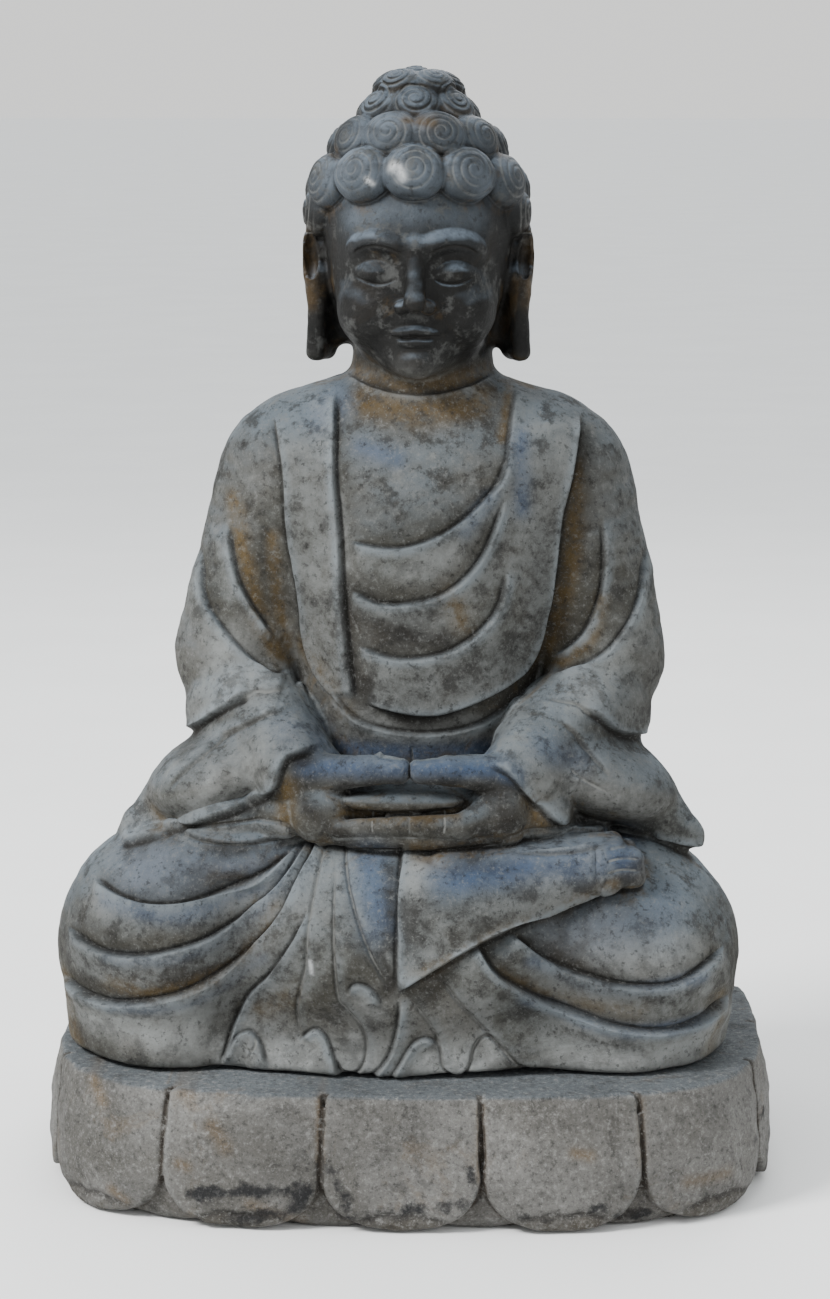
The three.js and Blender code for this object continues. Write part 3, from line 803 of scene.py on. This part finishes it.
def plan_table(samples=4000):
    """Bearings round the plan, stretched to a circle, and the distance walked to each."""
    turn = np.linspace(-math.pi, math.pi, samples)
    c, s = np.cos(turn), np.sin(turn)
    x = PLAN_HALF[0] * np.sign(c) * np.abs(c) ** (2 / PLAN_POWER)
    y = PLAN_HALF[1] * np.sign(s) * np.abs(s) ** (2 / PLAN_POWER)
    walked = np.concatenate([[0], np.cumsum(np.hypot(np.diff(x), np.diff(y)))])
    return np.arctan2(y / PLAN_HALF[1], x / PLAN_HALF[0]), walked


BEARINGS, WALKED = plan_table()
ROUND = WALKED[-1]


def walked_to(x, y):
    bearing = np.arctan2(np.asarray(y) / PLAN_HALF[1], np.asarray(x) / PLAN_HALF[0])
    return np.interp(bearing, BEARINGS, WALKED)


def petal_edges():
    spots = []
    for x in FRONT_EDGES:
        y = PLAN_HALF[1] * (1 - abs(x / PLAN_HALF[0]) ** PLAN_POWER) ** (1 / PLAN_POWER)
        spots += [(x, -y), (x, y)]
    for y in SIDE_EDGES:
        x = PLAN_HALF[0] * (1 - abs(y / PLAN_HALF[1]) ** PLAN_POWER) ** (1 / PLAN_POWER)
        spots += [(-x, y + 0.01), (x, y)]
    return np.sort([float(walked_to(x, y)) for x, y in spots])


def next_edges(edges):
    """The edge after each one, round the plan."""
    return np.append(edges[1:], edges[0] + ROUND)


PETAL_EDGES = petal_edges()
# The petals of the row behind start in the middle of those in front.
INNER_EDGES = np.sort((PETAL_EDGES + next_edges(PETAL_EDGES)) / 2 % ROUND)


def petal_place(x, y, starts):
    """Where each point is on its petal: distance from the petal's middle, half its width, its number."""
    walked = walked_to(x, y)
    ends = next_edges(starts)
    index = np.searchsorted(starts, walked, side="right") - 1
    across = np.where(index < 0, walked + ROUND, walked)
    index = np.where(index < 0, len(starts) - 1, index)
    middle = (starts[index] + ends[index]) / 2
    half = (ends[index] - starts[index]) / 2
    return across - middle, half, index


def petal_outline(u, z, half, tip, rise):
    """Distance outside a hanging petal's outline: straight sides and a flattened round tip."""
    drop = np.maximum(tip + rise - z, 0)
    a, b = np.abs(u) / half, drop / rise
    size = np.maximum((a**PETAL_POWER + b**PETAL_POWER) ** (1 / PETAL_POWER), 0.05)
    slope = size ** (1 - PETAL_POWER) * np.hypot(
        a ** (PETAL_POWER - 1) / half, b ** (PETAL_POWER - 1) / rise)
    return (size - 1) / np.maximum(slope, 1 / 150)


def swell(z):
    """How far the petals swell out at a height: most near their tips."""
    share = np.clip(z / PLINTH_HEIGHT, 0, 1)
    upper = PETAL_FLARE * np.cos(np.clip((share - FLARE_SHARE) / (1 - FLARE_SHARE), 0, 1) * math.pi / 2)
    lower = PETAL_FLARE - 6 * (1 - share / FLARE_SHARE) ** 2
    return np.where(share > FLARE_SHARE, upper, lower)


def soft_max(a, b, soft):
    return -soft_min(-a, -b, soft)


def plinth_field(points):
    x, y, z = points.T
    wall = plan_distance(x, y) - swell(z)
    u, half, _ = petal_place(x, y, PETAL_EDGES)
    belly = 3.5 * (1 - np.clip(np.abs(u) / half, 0, 1) ** 2.5) * ease(z, 126, 80)
    petals = soft_max(wall - belly + 2, petal_outline(u, z, half - 1.2, 2, 50), 5)
    u, half, _ = petal_place(x, y, INNER_EDGES)
    inner = soft_max(wall + 10, petal_outline(u, z, half - 4, 1, 40), 7)
    core = wall + 20
    result = np.minimum(np.minimum(core, inner), petals)
    result = soft_max(result, z - PLINTH_HEIGHT, 5)
    result = soft_max(result, -z, 2)
    for side in (-1, 1):
        hole = np.maximum(np.hypot(x - side * DOWEL_X, y - DOWEL_Y) - BORE_RADIUS, BORE_FLOOR - z)
        result = np.maximum(result, -hole)
    return result


# ---------------------------------------------------------------- surface detail

# How far out or in the field is sampled to tell sheltered stone from proud.
NEAR_REACH = 5
FAR_REACH = 22
PROUD_REACH = 7


def unevenness(points, size, seed, waves=14):
    """Smooth, hand-worked unevenness from waves in many directions, about -1 to 1."""
    rng = np.random.default_rng(seed)
    total = np.zeros(len(points))
    for _ in range(waves):
        direction = rng.normal(size=3)
        direction *= 2 * math.pi / (size * rng.uniform(0.6, 1.8)) / np.linalg.norm(direction)
        total += np.sin(points @ direction + rng.uniform(0, 2 * math.pi))
    return total / math.sqrt(waves)


def carve_spiral(points, centre, outward, radius, wind, depth, pitch, marks):
    """A snail curl's groove, wound round the curl's outward direction."""
    near = ((points - centre) ** 2).sum(1) < (radius * 1.2) ** 2
    if not near.any():
        return
    side, up = curl_axes(outward)
    away = points[near] - centre
    a, b = away @ side, away @ up
    reach = np.hypot(a, b)
    phase = wind * np.arctan2(b, a) / (2 * math.pi) + reach / pitch
    groove = (0.5 - 0.5 * np.cos(2 * math.pi * phase)) ** 3
    fade = ease(reach, 1.5, 4) * ease(radius - reach, 0, 3) * ease(away @ outward, 0, radius * 0.35)
    marks["relief"][near] -= depth * groove * fade
    marks["chalk"][near] = np.maximum(marks["chalk"][near], groove * fade)


def make_object(name, corners, faces, attributes):
    mesh = bpy.data.meshes.new(name)
    mesh.from_pydata((corners * MM).tolist(), [], faces)
    mesh.shade_smooth()
    for key, values in attributes.items():
        layer = mesh.attributes.new(key, "FLOAT", "POINT")
        layer.data.foreach_set("value", np.asarray(values, np.float32))
    obj = bpy.data.objects.new(name, mesh)
    bpy.context.scene.collection.objects.link(obj)
    return obj


def near_lines(points, lines, reach, look=-1):
    """True for points within reach of a line, seen from the front or from behind."""
    result = np.zeros(len(points), bool)
    flat = points[:, [0, 2]]
    half = points[:, 1] * look > -10
    for *_, path in lines:
        curve = smooth_curve(path)
        near = ((flat > curve.min(0) - reach) & (flat < curve.max(0) + reach)).all(1) & half
        if near.any():
            result[near] |= np.abs(curve_distance(flat[near], curve)[0]) < reach
    return result


def exposure(distance, points, normal):
    """How sheltered each point is, close by and further off, and how proud, each from 0 to 1."""
    near = 1 - distance(points + NEAR_REACH * normal) / NEAR_REACH
    far = 1 - distance(points + FAR_REACH * normal) / FAR_REACH
    proud = 1 + distance(points - PROUD_REACH * normal) / PROUD_REACH
    return np.clip(near, 0, 1), np.clip(far, 0, 1), np.clip(proud, 0, 1)


def figure_mesh():
    corners, faces, _ = carve_block(figure_field, (-340, -230, 112), (325, 200, 1012))
    quads = np.array(faces)
    fine = near_lines(corners, FOLDS, 6) | near_lines(corners, BACK_FOLDS, 6, 1)
    fine |= corners[:, 2] > NECK_TOP
    corners, faces = split(corners, quads, fine[quads].any(1))
    corners, normal = settle(figure_field, corners, 2, 2)
    marks = {key: np.zeros(len(corners)) for key in ("relief", "chalk", "groove_shade", "crest_highlight", "hollow_shade")}
    carve_lines(corners, normal, FOLDS, marks)
    carve_lines(corners, normal, BACK_FOLDS, marks, 1)
    face = np.flatnonzero((corners[:, 2] > 730) & (corners[:, 2] < 880) & (corners[:, 1] < -20))
    on_face = {key: np.zeros(len(face)) for key in marks}
    carve_lines(corners[face], normal[face], FACE_LINES, on_face)
    marks["relief"][face] += on_face["relief"]
    marks["groove_shade"][face] = np.maximum(marks["groove_shade"][face], np.minimum(5 * on_face["groove_shade"], 0.9))
    for i, (centre, outward, radius) in enumerate(CURLS):
        depth = 0.9 + 0.3 * math.sin(i * 2.4)
        carve_spiral(corners, centre, outward, radius, (1, -1)[i % 2], depth, 0.27 * radius, marks)
    body = 1 - ease(corners[:, 2], 690, 730)
    marks["relief"] += 0.9 * body * unevenness(corners, 60, 3) + 0.25 * unevenness(corners, 16, 4)
    stroke_masks = {key: lay_strokes(corners, normal, strokes) for key, strokes in FRONT_STROKES.items()}
    corners = corners + normal * marks.pop("relief")[:, None]
    corners[:, 2] = np.maximum(corners[:, 2], FIGURE_BOTTOM + 0.2)
    near, far, proud = exposure(figure_field, corners, normal)
    return make_object("carved_figure", corners, faces, {
        **marks, **stroke_masks, "near": near, "far": far, "proud": proud, "head": ease(corners[:, 2], 712, 750),
    })


def plinth_mesh():
    corners, faces, normal = carve_block(plinth_field, (-350, -275, -12), (350, 275, 136))
    x, y, z = corners.T
    u, half, index = petal_place(x, y, PETAL_EDGES)
    side = ease(np.hypot(normal[:, 0], normal[:, 1]), 0.5, 0.8)
    lip = 13 + 4 * np.cos(u / half * math.pi * 1.6) - 4 * np.exp(-((u / 7) ** 2)) + 2 * np.sin(index * 5.0)
    gap = (z - 3) - lip
    fade = side * ease(1 - np.abs(u) / half, 0.3, 0.6)
    groove = fade * np.exp(-((gap / 2.6) ** 2))
    relief = -1.8 * groove + 1.2 * fade * ease(-gap, -2, 3)
    relief += 0.9 * unevenness(corners, 50, 5) * side + 0.3 * unevenness(corners, 14, 6)
    relief[z < 1.5] = 0
    near, far, proud = exposure(plinth_field, corners, normal)
    stroke_masks = {key: lay_strokes(corners, normal, strokes) for key, strokes in PLINTH_STAINS.items()}
    corners = corners + normal * relief[:, None]
    corners[:, 2] = np.minimum(corners[:, 2], PLINTH_HEIGHT)
    return make_object("carved_plinth", corners, faces, {
        **stroke_masks, "groove_shade": groove, "lip": fade * ease(-gap, -1, 3), "near": near, "far": far,
        "proud": proud, "petal": np.sin(index * 12.9898) * 0.5 + 0.5,
    })


figure = figure_mesh()
plinth = plinth_mesh()

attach(figure, "figure")
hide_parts("seated_figure")
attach(plinth, "plinth")
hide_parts("lotus_plinth")

# ---------------------------------------------------------------- materials


class Nodes:
    """A small helper that adds shader nodes and links them in one call."""

    def __init__(self, name):
        self.material = bpy.data.materials.new(name)
        self.material.use_nodes = True
        self.tree = self.material.node_tree
        self.shader = self.tree.nodes["Principled BSDF"]
        self.coords = self.tree.nodes.new("ShaderNodeTexCoord").outputs["Object"]

    def put(self, socket, value):
        if isinstance(value, bpy.types.NodeSocket):
            self.tree.links.new(value, socket)
        else:
            socket.default_value = value

    def noise(self, scale, detail=4.0, rough=0.55, stretch=None, warp=0.0):
        node = self.tree.nodes.new("ShaderNodeTexNoise")
        node.inputs["Scale"].default_value = scale
        node.inputs["Detail"].default_value = detail
        node.inputs["Roughness"].default_value = rough
        node.inputs["Distortion"].default_value = warp
        where = self.coords
        if stretch:
            mapping = self.tree.nodes.new("ShaderNodeMapping")
            mapping.inputs["Scale"].default_value = stretch
            self.tree.links.new(self.coords, mapping.inputs["Vector"])
            where = mapping.outputs["Vector"]
        self.tree.links.new(where, node.inputs["Vector"])
        return node.outputs["Fac"]

    def attribute(self, name):
        node = self.tree.nodes.new("ShaderNodeAttribute")
        node.attribute_name = name
        return node.outputs["Fac"]

    def math(self, kind, a, b):
        node = self.tree.nodes.new("ShaderNodeMath")
        node.operation = kind
        self.put(node.inputs[0], a)
        self.put(node.inputs[1], b)
        return node.outputs[0]

    def times(self, a, b):
        return self.math("MULTIPLY", a, b)

    def fit(self, value, low, high, to_low=0.0, to_high=1.0):
        node = self.tree.nodes.new("ShaderNodeMapRange")
        node.interpolation_type = "SMOOTHSTEP"
        self.put(node.inputs["Value"], value)
        for key, number in (("From Min", low), ("From Max", high), ("To Min", to_low), ("To Max", to_high)):
            node.inputs[key].default_value = number
        return node.outputs["Result"]

    def mix(self, share, a, b, kind="MIX"):
        node = self.tree.nodes.new("ShaderNodeMix")
        node.data_type = "RGBA"
        node.blend_type = kind
        self.put(node.inputs[0], share)
        self.put(node.inputs[6], a if isinstance(a, bpy.types.NodeSocket) else (*a, 1))
        self.put(node.inputs[7], b if isinstance(b, bpy.types.NodeSocket) else (*b, 1))
        return node.outputs[2]

    def bump(self, height, depth, strength, under=None):
        node = self.tree.nodes.new("ShaderNodeBump")
        node.inputs["Strength"].default_value = strength
        node.inputs["Distance"].default_value = depth
        self.tree.links.new(height, node.inputs["Height"])
        if under is not None:
            self.tree.links.new(under, node.inputs["Normal"])
        return node.outputs["Normal"]

    def finish(self, color, roughness, normal=None, metallic=0.0, specular=None):
        self.put(self.shader.inputs["Base Color"], color)
        self.put(self.shader.inputs["Roughness"], roughness)
        self.shader.inputs["Metallic"].default_value = metallic
        if specular is not None:
            self.shader.inputs["Specular IOR Level"].default_value = specular
        if normal is not None:
            self.tree.links.new(normal, self.shader.inputs["Normal"])
        return self.material


def facing_up(nodes):
    """1 where the carved surface looks up, 0 where it looks down."""
    geometry = nodes.tree.nodes.new("ShaderNodeNewGeometry")
    split_normal = nodes.tree.nodes.new("ShaderNodeSeparateXYZ")
    nodes.tree.links.new(geometry.outputs["Normal"], split_normal.inputs[0])
    return split_normal.outputs["Z"]


def figure_stone():
    n = Nodes("figure_stone")
    near, far, proud, head = (n.attribute(key) for key in ("near", "far", "proud", "head"))
    up = facing_up(n)
    blotch = n.noise(9, 6, 0.62, warp=0.4)
    patch = n.noise(42, 9, 0.72)
    grain = n.noise(170, 6, 0.7)
    speck = n.noise(460, 4, 0.72)
    body = n.math("SUBTRACT", 1.0, head)
    # Grey stone, darker and browner on upright faces; painted sky light makes it pale and bluish where it
    # looks up.
    color = n.mix(n.fit(blotch, 0.38, 0.6), (0.04, 0.0385, 0.032), (0.078, 0.0775, 0.072))
    painted_light = n.times(n.fit(up, 0.0, 0.75), n.fit(n.noise(11, 6, 0.62), 0.3, 0.6, 0.35, 1.0))
    color = n.mix(painted_light, color, (0.102, 0.122, 0.138))
    color = n.mix(n.fit(patch, 0.5, 0.62, 0.0, 0.75), color, (0.02, 0.0195, 0.018))
    color = n.mix(n.fit(patch, 0.46, 0.34, 0.0, 0.5), color, (0.13, 0.132, 0.125))
    # Painted shade: dark brown in the scoop beside each raised fold.
    color = n.mix(n.times(n.attribute("hollow_shade"), 0.75), color, (0.026, 0.024, 0.018))
    broken = n.fit(patch, 0.3, 0.62, 1.0, 0.55)
    # Painted light from the pale strokes.
    color = n.mix(n.times(n.attribute("painted_light"), n.fit(patch, 0.35, 0.6, 0.95, 0.45)),
                  color, (0.25, 0.258, 0.252))
    blue = n.times(n.attribute("blue"), broken)
    color = n.mix(n.times(blue, 0.92), color, (0.036, 0.063, 0.118))
    color = n.mix(n.times(n.attribute("dark"), n.fit(patch, 0.3, 0.6, 0.55, 1.0)),
                  color, (0.017, 0.016, 0.0145))
    rust = n.times(n.fit(n.noise(18, 7, 0.7, warp=0.7), 0.5, 0.64), n.fit(far, 0.1, 0.5, 0.1, 1.0))
    ochre = n.times(n.attribute("ochre"), n.fit(n.noise(60, 6, 0.7), 0.36, 0.56, 0.3, 1.0))
    ochre = n.math("MAXIMUM", n.times(rust, 0.6), ochre)
    color = n.mix(n.times(ochre, 0.85), color, (0.078, 0.05, 0.016))
    # Painted shade where the stone is sheltered close by.
    color = n.mix(n.fit(near, 0.2, 0.75, 0.0, 0.8), color, (0.012, 0.0105, 0.008))
    # Painted highlight on proud edges.
    color = n.mix(n.times(n.fit(proud, 0.12, 0.5), n.fit(patch, 0.6, 0.4, 0.1, 0.5)),
                  color, (0.15, 0.158, 0.155))
    # Painted highlight along the crests of the folds, weaker on dark stone.
    crest_highlight = n.times(n.attribute("crest_highlight"), n.fit(n.attribute("dark"), 0.0, 1.0, 1.0, 0.3))
    color = n.mix(n.times(crest_highlight, n.fit(patch, 0.62, 0.4, 0.25, 0.8)), color, (0.145, 0.165, 0.178))
    # The head is rubbed nearly black, with a painted blue-grey sky reflection where it looks up and along
    # the pale strokes of painted light.
    painted_sky_sheen = n.times(n.fit(up, 0.12, 0.7), n.fit(n.noise(24, 8, 0.68), 0.36, 0.58, 0.2, 1.0))
    head_painted_light = n.times(n.attribute("painted_light"), n.fit(blotch, 0.35, 0.6, 0.3, 0.8))
    painted_sky_sheen = n.math("MAXIMUM", painted_sky_sheen, head_painted_light)
    face = n.mix(painted_sky_sheen, (0.0032, 0.0031, 0.0029), (0.09, 0.112, 0.138))
    face = n.mix(n.fit(n.noise(44, 9, 0.76), 0.52, 0.62, 0.0, 0.75), face, (0.05, 0.051, 0.049))
    face = n.mix(n.times(ochre, 0.6), face, (0.08, 0.048, 0.016))
    # Painted shade on the face where it is sheltered close by.
    face = n.mix(n.fit(near, 0.2, 0.7, 0.0, 0.8), face, (0.006, 0.0055, 0.005))
    color = n.mix(n.times(head, 0.94), color, face)
    worn = n.fit(n.noise(50, 4, 0.6), 0.38, 0.6, 0.2, 0.8)
    chalk = n.times(n.fit(n.attribute("chalk"), 0.3, 0.9), worn)
    color = n.mix(n.times(chalk, n.fit(head, 0.0, 1.0, 1.0, 0.34)), color, (0.2, 0.203, 0.192))
    white = n.times(n.attribute("white"), n.fit(patch, 0.4, 0.6, 1.0, 0.5))
    color = n.mix(white, color, (0.42, 0.43, 0.43))
    # Painted shade: near black in the grooves of the folds and in the face's lines.
    color = n.mix(n.times(n.attribute("groove_shade"), 0.85), color, (0.01, 0.009, 0.0075))
    color = n.mix(n.times(body, n.fit(grain, 0.54, 0.68, 0.0, 0.4)), color, (0.15, 0.152, 0.146))
    color = n.mix(n.fit(grain, 0.46, 0.34, 0.0, 0.6), color, (0.012, 0.0115, 0.011))
    color = n.mix(n.times(body, n.fit(speck, 0.56, 0.7, 0.0, 0.4)), color, (0.17, 0.17, 0.165))
    color = n.mix(1.0, color, n.fit(n.noise(7, 3, 0.5), 0.35, 0.65, 0.62, 0.92), "MULTIPLY")
    gloss = n.math("SUBTRACT", n.times(patch, 0.5), n.times(head, 0.3))
    normal = n.bump(speck, 0.0012, 0.5)
    normal = n.bump(n.noise(130, 6, 0.65), 0.0024, 0.55, normal)
    return n.finish(color, n.fit(gloss, -0.2, 0.35, 0.45, 0.85), normal, specular=0.12)


def plinth_stone():
    n = Nodes("plinth_stone")
    near, far, proud = (n.attribute(key) for key in ("near", "far", "proud"))
    up = facing_up(n)
    blotch = n.noise(10, 7, 0.62, warp=0.4)
    patch = n.noise(46, 9, 0.72)
    grain = n.noise(190, 6, 0.72)
    speck = n.noise(480, 4, 0.72)
    color = n.mix(n.fit(blotch, 0.36, 0.62), (0.088, 0.085, 0.076), (0.15, 0.148, 0.14))
    color = n.mix(n.times(n.attribute("petal"), 0.4), color, (0.1, 0.093, 0.086))
    # Painted sky light: pale blue-grey where the plinth looks up.
    color = n.mix(n.fit(up, 0.3, 0.9, 0.0, 0.8), color, (0.085, 0.1, 0.112))
    color = n.mix(n.fit(patch, 0.5, 0.62, 0.0, 0.45), color, (0.045, 0.043, 0.04))
    rust = n.fit(n.noise(15, 7, 0.7, warp=0.8), 0.56, 0.68)
    ochre = n.math("MAXIMUM", n.times(rust, 0.4), n.attribute("ochre"))
    color = n.mix(n.times(ochre, 0.7), color, (0.12, 0.078, 0.036))
    color = n.mix(n.times(n.attribute("lip"), n.fit(patch, 0.35, 0.6, 0.25, 0.8)),
                  color, (0.045, 0.038, 0.028))
    ragged = n.times(n.math("SUBTRACT", patch, 0.5), 3.0)
    black = n.fit(n.math("ADD", n.attribute("dark"), ragged), 0.42, 1.1, 0.0, 0.9)
    color = n.mix(black, color, (0.01, 0.0105, 0.012))
    # Painted shade where the plinth is sheltered, close by and further off.
    color = n.mix(n.fit(near, 0.15, 0.7, 0.0, 0.85), color, (0.018, 0.0125, 0.008))
    color = n.mix(n.fit(far, 0.15, 0.6, 0.0, 0.45), color, (0.038, 0.03, 0.022))
    # Painted highlight on proud edges.
    color = n.mix(n.fit(proud, 0.2, 0.6, 0.0, 0.3), color, (0.18, 0.182, 0.175))
    # Painted shade in the groove at each petal's lip.
    color = n.mix(n.times(n.attribute("groove_shade"), 0.75), color, (0.014, 0.012, 0.01))
    clean = n.fit(black, 0.0, 0.9, 1.0, 0.3)
    color = n.mix(n.times(n.fit(grain, 0.52, 0.66, 0.0, 0.55), clean), color, (0.23, 0.228, 0.218))
    color = n.mix(n.fit(grain, 0.47, 0.34, 0.0, 0.65), color, (0.028, 0.0275, 0.026))
    color = n.mix(n.times(n.fit(speck, 0.55, 0.7, 0.0, 0.45), clean), color, (0.27, 0.27, 0.26))
    color = n.mix(n.fit(speck, 0.45, 0.3, 0.0, 0.6), color, (0.02, 0.02, 0.019))
    color = n.mix(1.0, color, n.fit(n.noise(8, 3, 0.5), 0.35, 0.65, 0.72, 0.98), "MULTIPLY")
    normal = n.bump(speck, 0.0016, 0.6)
    normal = n.bump(n.noise(120, 6, 0.65), 0.0026, 0.55, normal)
    return n.finish(color, n.fit(patch, 0.3, 0.7, 0.75, 0.95), normal, specular=0.2)


def metal(name, dull, bright, roughness, scale, stretch=None):
    n = Nodes(name)
    marks = n.noise(scale, 6, 0.6, stretch)
    color = n.mix(n.fit(marks, 0.35, 0.65), dull, bright)
    normal = n.bump(marks, 0.0003, 0.3)
    return n.finish(color, n.fit(marks, 0.3, 0.7, roughness, roughness + 0.2), normal, metallic=1.0)


def matt(name, dark, light, roughness, scale):
    n = Nodes(name)
    marks = n.noise(scale, 8, 0.65)
    color = n.mix(n.fit(marks, 0.35, 0.65), dark, light)
    normal = n.bump(n.noise(scale * 4, 4, 0.6), 0.0008, 0.5)
    return n.finish(color, n.fit(marks, 0.3, 0.7, roughness - 0.08, roughness + 0.08), normal)


figure.data.materials.append(figure_stone())
plinth.data.materials.append(plinth_stone())

FIXINGS = {
    "dowel": metal("dowel_steel", (0.4, 0.4, 0.4), (0.62, 0.62, 0.61), 0.28, 300, (1, 1, 12)),
    "grout": matt("grout", (0.3, 0.28, 0.25), (0.5, 0.48, 0.44), 0.9, 180),
    "sleeve": matt("sleeve_plastic", (0.62, 0.61, 0.57), (0.74, 0.73, 0.7), 0.5, 60),
    "shim": metal("shim_lead", (0.13, 0.135, 0.15), (0.27, 0.28, 0.3), 0.5, 120),
}
for node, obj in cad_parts.items():
    finish = FIXINGS.get(node.split("_")[0])
    if finish:
        obj.data.materials.clear()
        obj.data.materials.append(finish)

# ---------------------------------------------------------------- camera, floor and lights

# The camera looks down ten degrees from three metres, two degrees round towards +X.
camera_data = bpy.data.cameras.new("camera")
camera_data.lens = 92
camera_data.sensor_width = 36
camera = bpy.data.objects.new("camera", camera_data)
bpy.context.scene.collection.objects.link(camera)
camera.location = (0.1077, -2.998, 1.0)
camera.rotation_euler = (math.radians(80), 0, math.radians(2))
bpy.context.scene.camera = camera


def plain(name, color, roughness):
    n = Nodes(name)
    tone = n.mix(n.fit(n.noise(3, 2), 0.3, 0.7), tuple(0.97 * c for c in color), color)
    return n.finish(tone, roughness)


floor_mesh = bpy.data.meshes.new("floor")
floor_mesh.from_pydata([(-60, -60, 0), (60, -60, 0), (60, 60, 0), (-60, 60, 0)], [], [(0, 1, 2, 3)])
floor = bpy.data.objects.new("floor", floor_mesh)
floor.data.materials.append(plain("floor", (0.82, 0.82, 0.81), 0.8))
bpy.context.scene.collection.objects.link(floor)


def area_light(name, place, target, size, power):
    data = bpy.data.lights.new(name, "AREA")
    data.size = size
    data.energy = power
    light = bpy.data.objects.new(name, data)
    light.location = place
    direction = Vector(target) - Vector(place)
    light.rotation_euler = direction.to_track_quat("-Z", "Y").to_euler()
    bpy.context.scene.collection.objects.link(light)


area_light("key", (-2.7, -2.0, 3.3), (0, 0, 0.5), 1.2, 345)
area_light("fill", (2.8, -2.6, 1.2), (0, 0, 0.4), 2.5, 34)
area_light("back", (0.6, 2.6, 2.8), (0, 0, 0.6), 2.0, 60)

# An overcast sky, brighter and a little bluer overhead.
world = bpy.data.worlds.new("world")
bpy.context.scene.world = world
world.use_nodes = True
sky = world.node_tree.nodes
ray = sky.new("ShaderNodeTexCoord")
height = sky.new("ShaderNodeSeparateXYZ")
ramp = sky.new("ShaderNodeValToRGB")
ramp.color_ramp.elements[0].position = 0.05
ramp.color_ramp.elements[0].color = (0.78, 0.78, 0.77, 1)
ramp.color_ramp.elements[1].position = 0.75
ramp.color_ramp.elements[1].color = (0.93, 0.97, 1.0, 1)
world.node_tree.links.new(ray.outputs["Generated"], height.inputs[0])
world.node_tree.links.new(height.outputs["Z"], ramp.inputs[0])
world.node_tree.links.new(ramp.outputs["Color"], sky["Background"].inputs["Color"])
sky["Background"].inputs["Strength"].default_value = 1.45
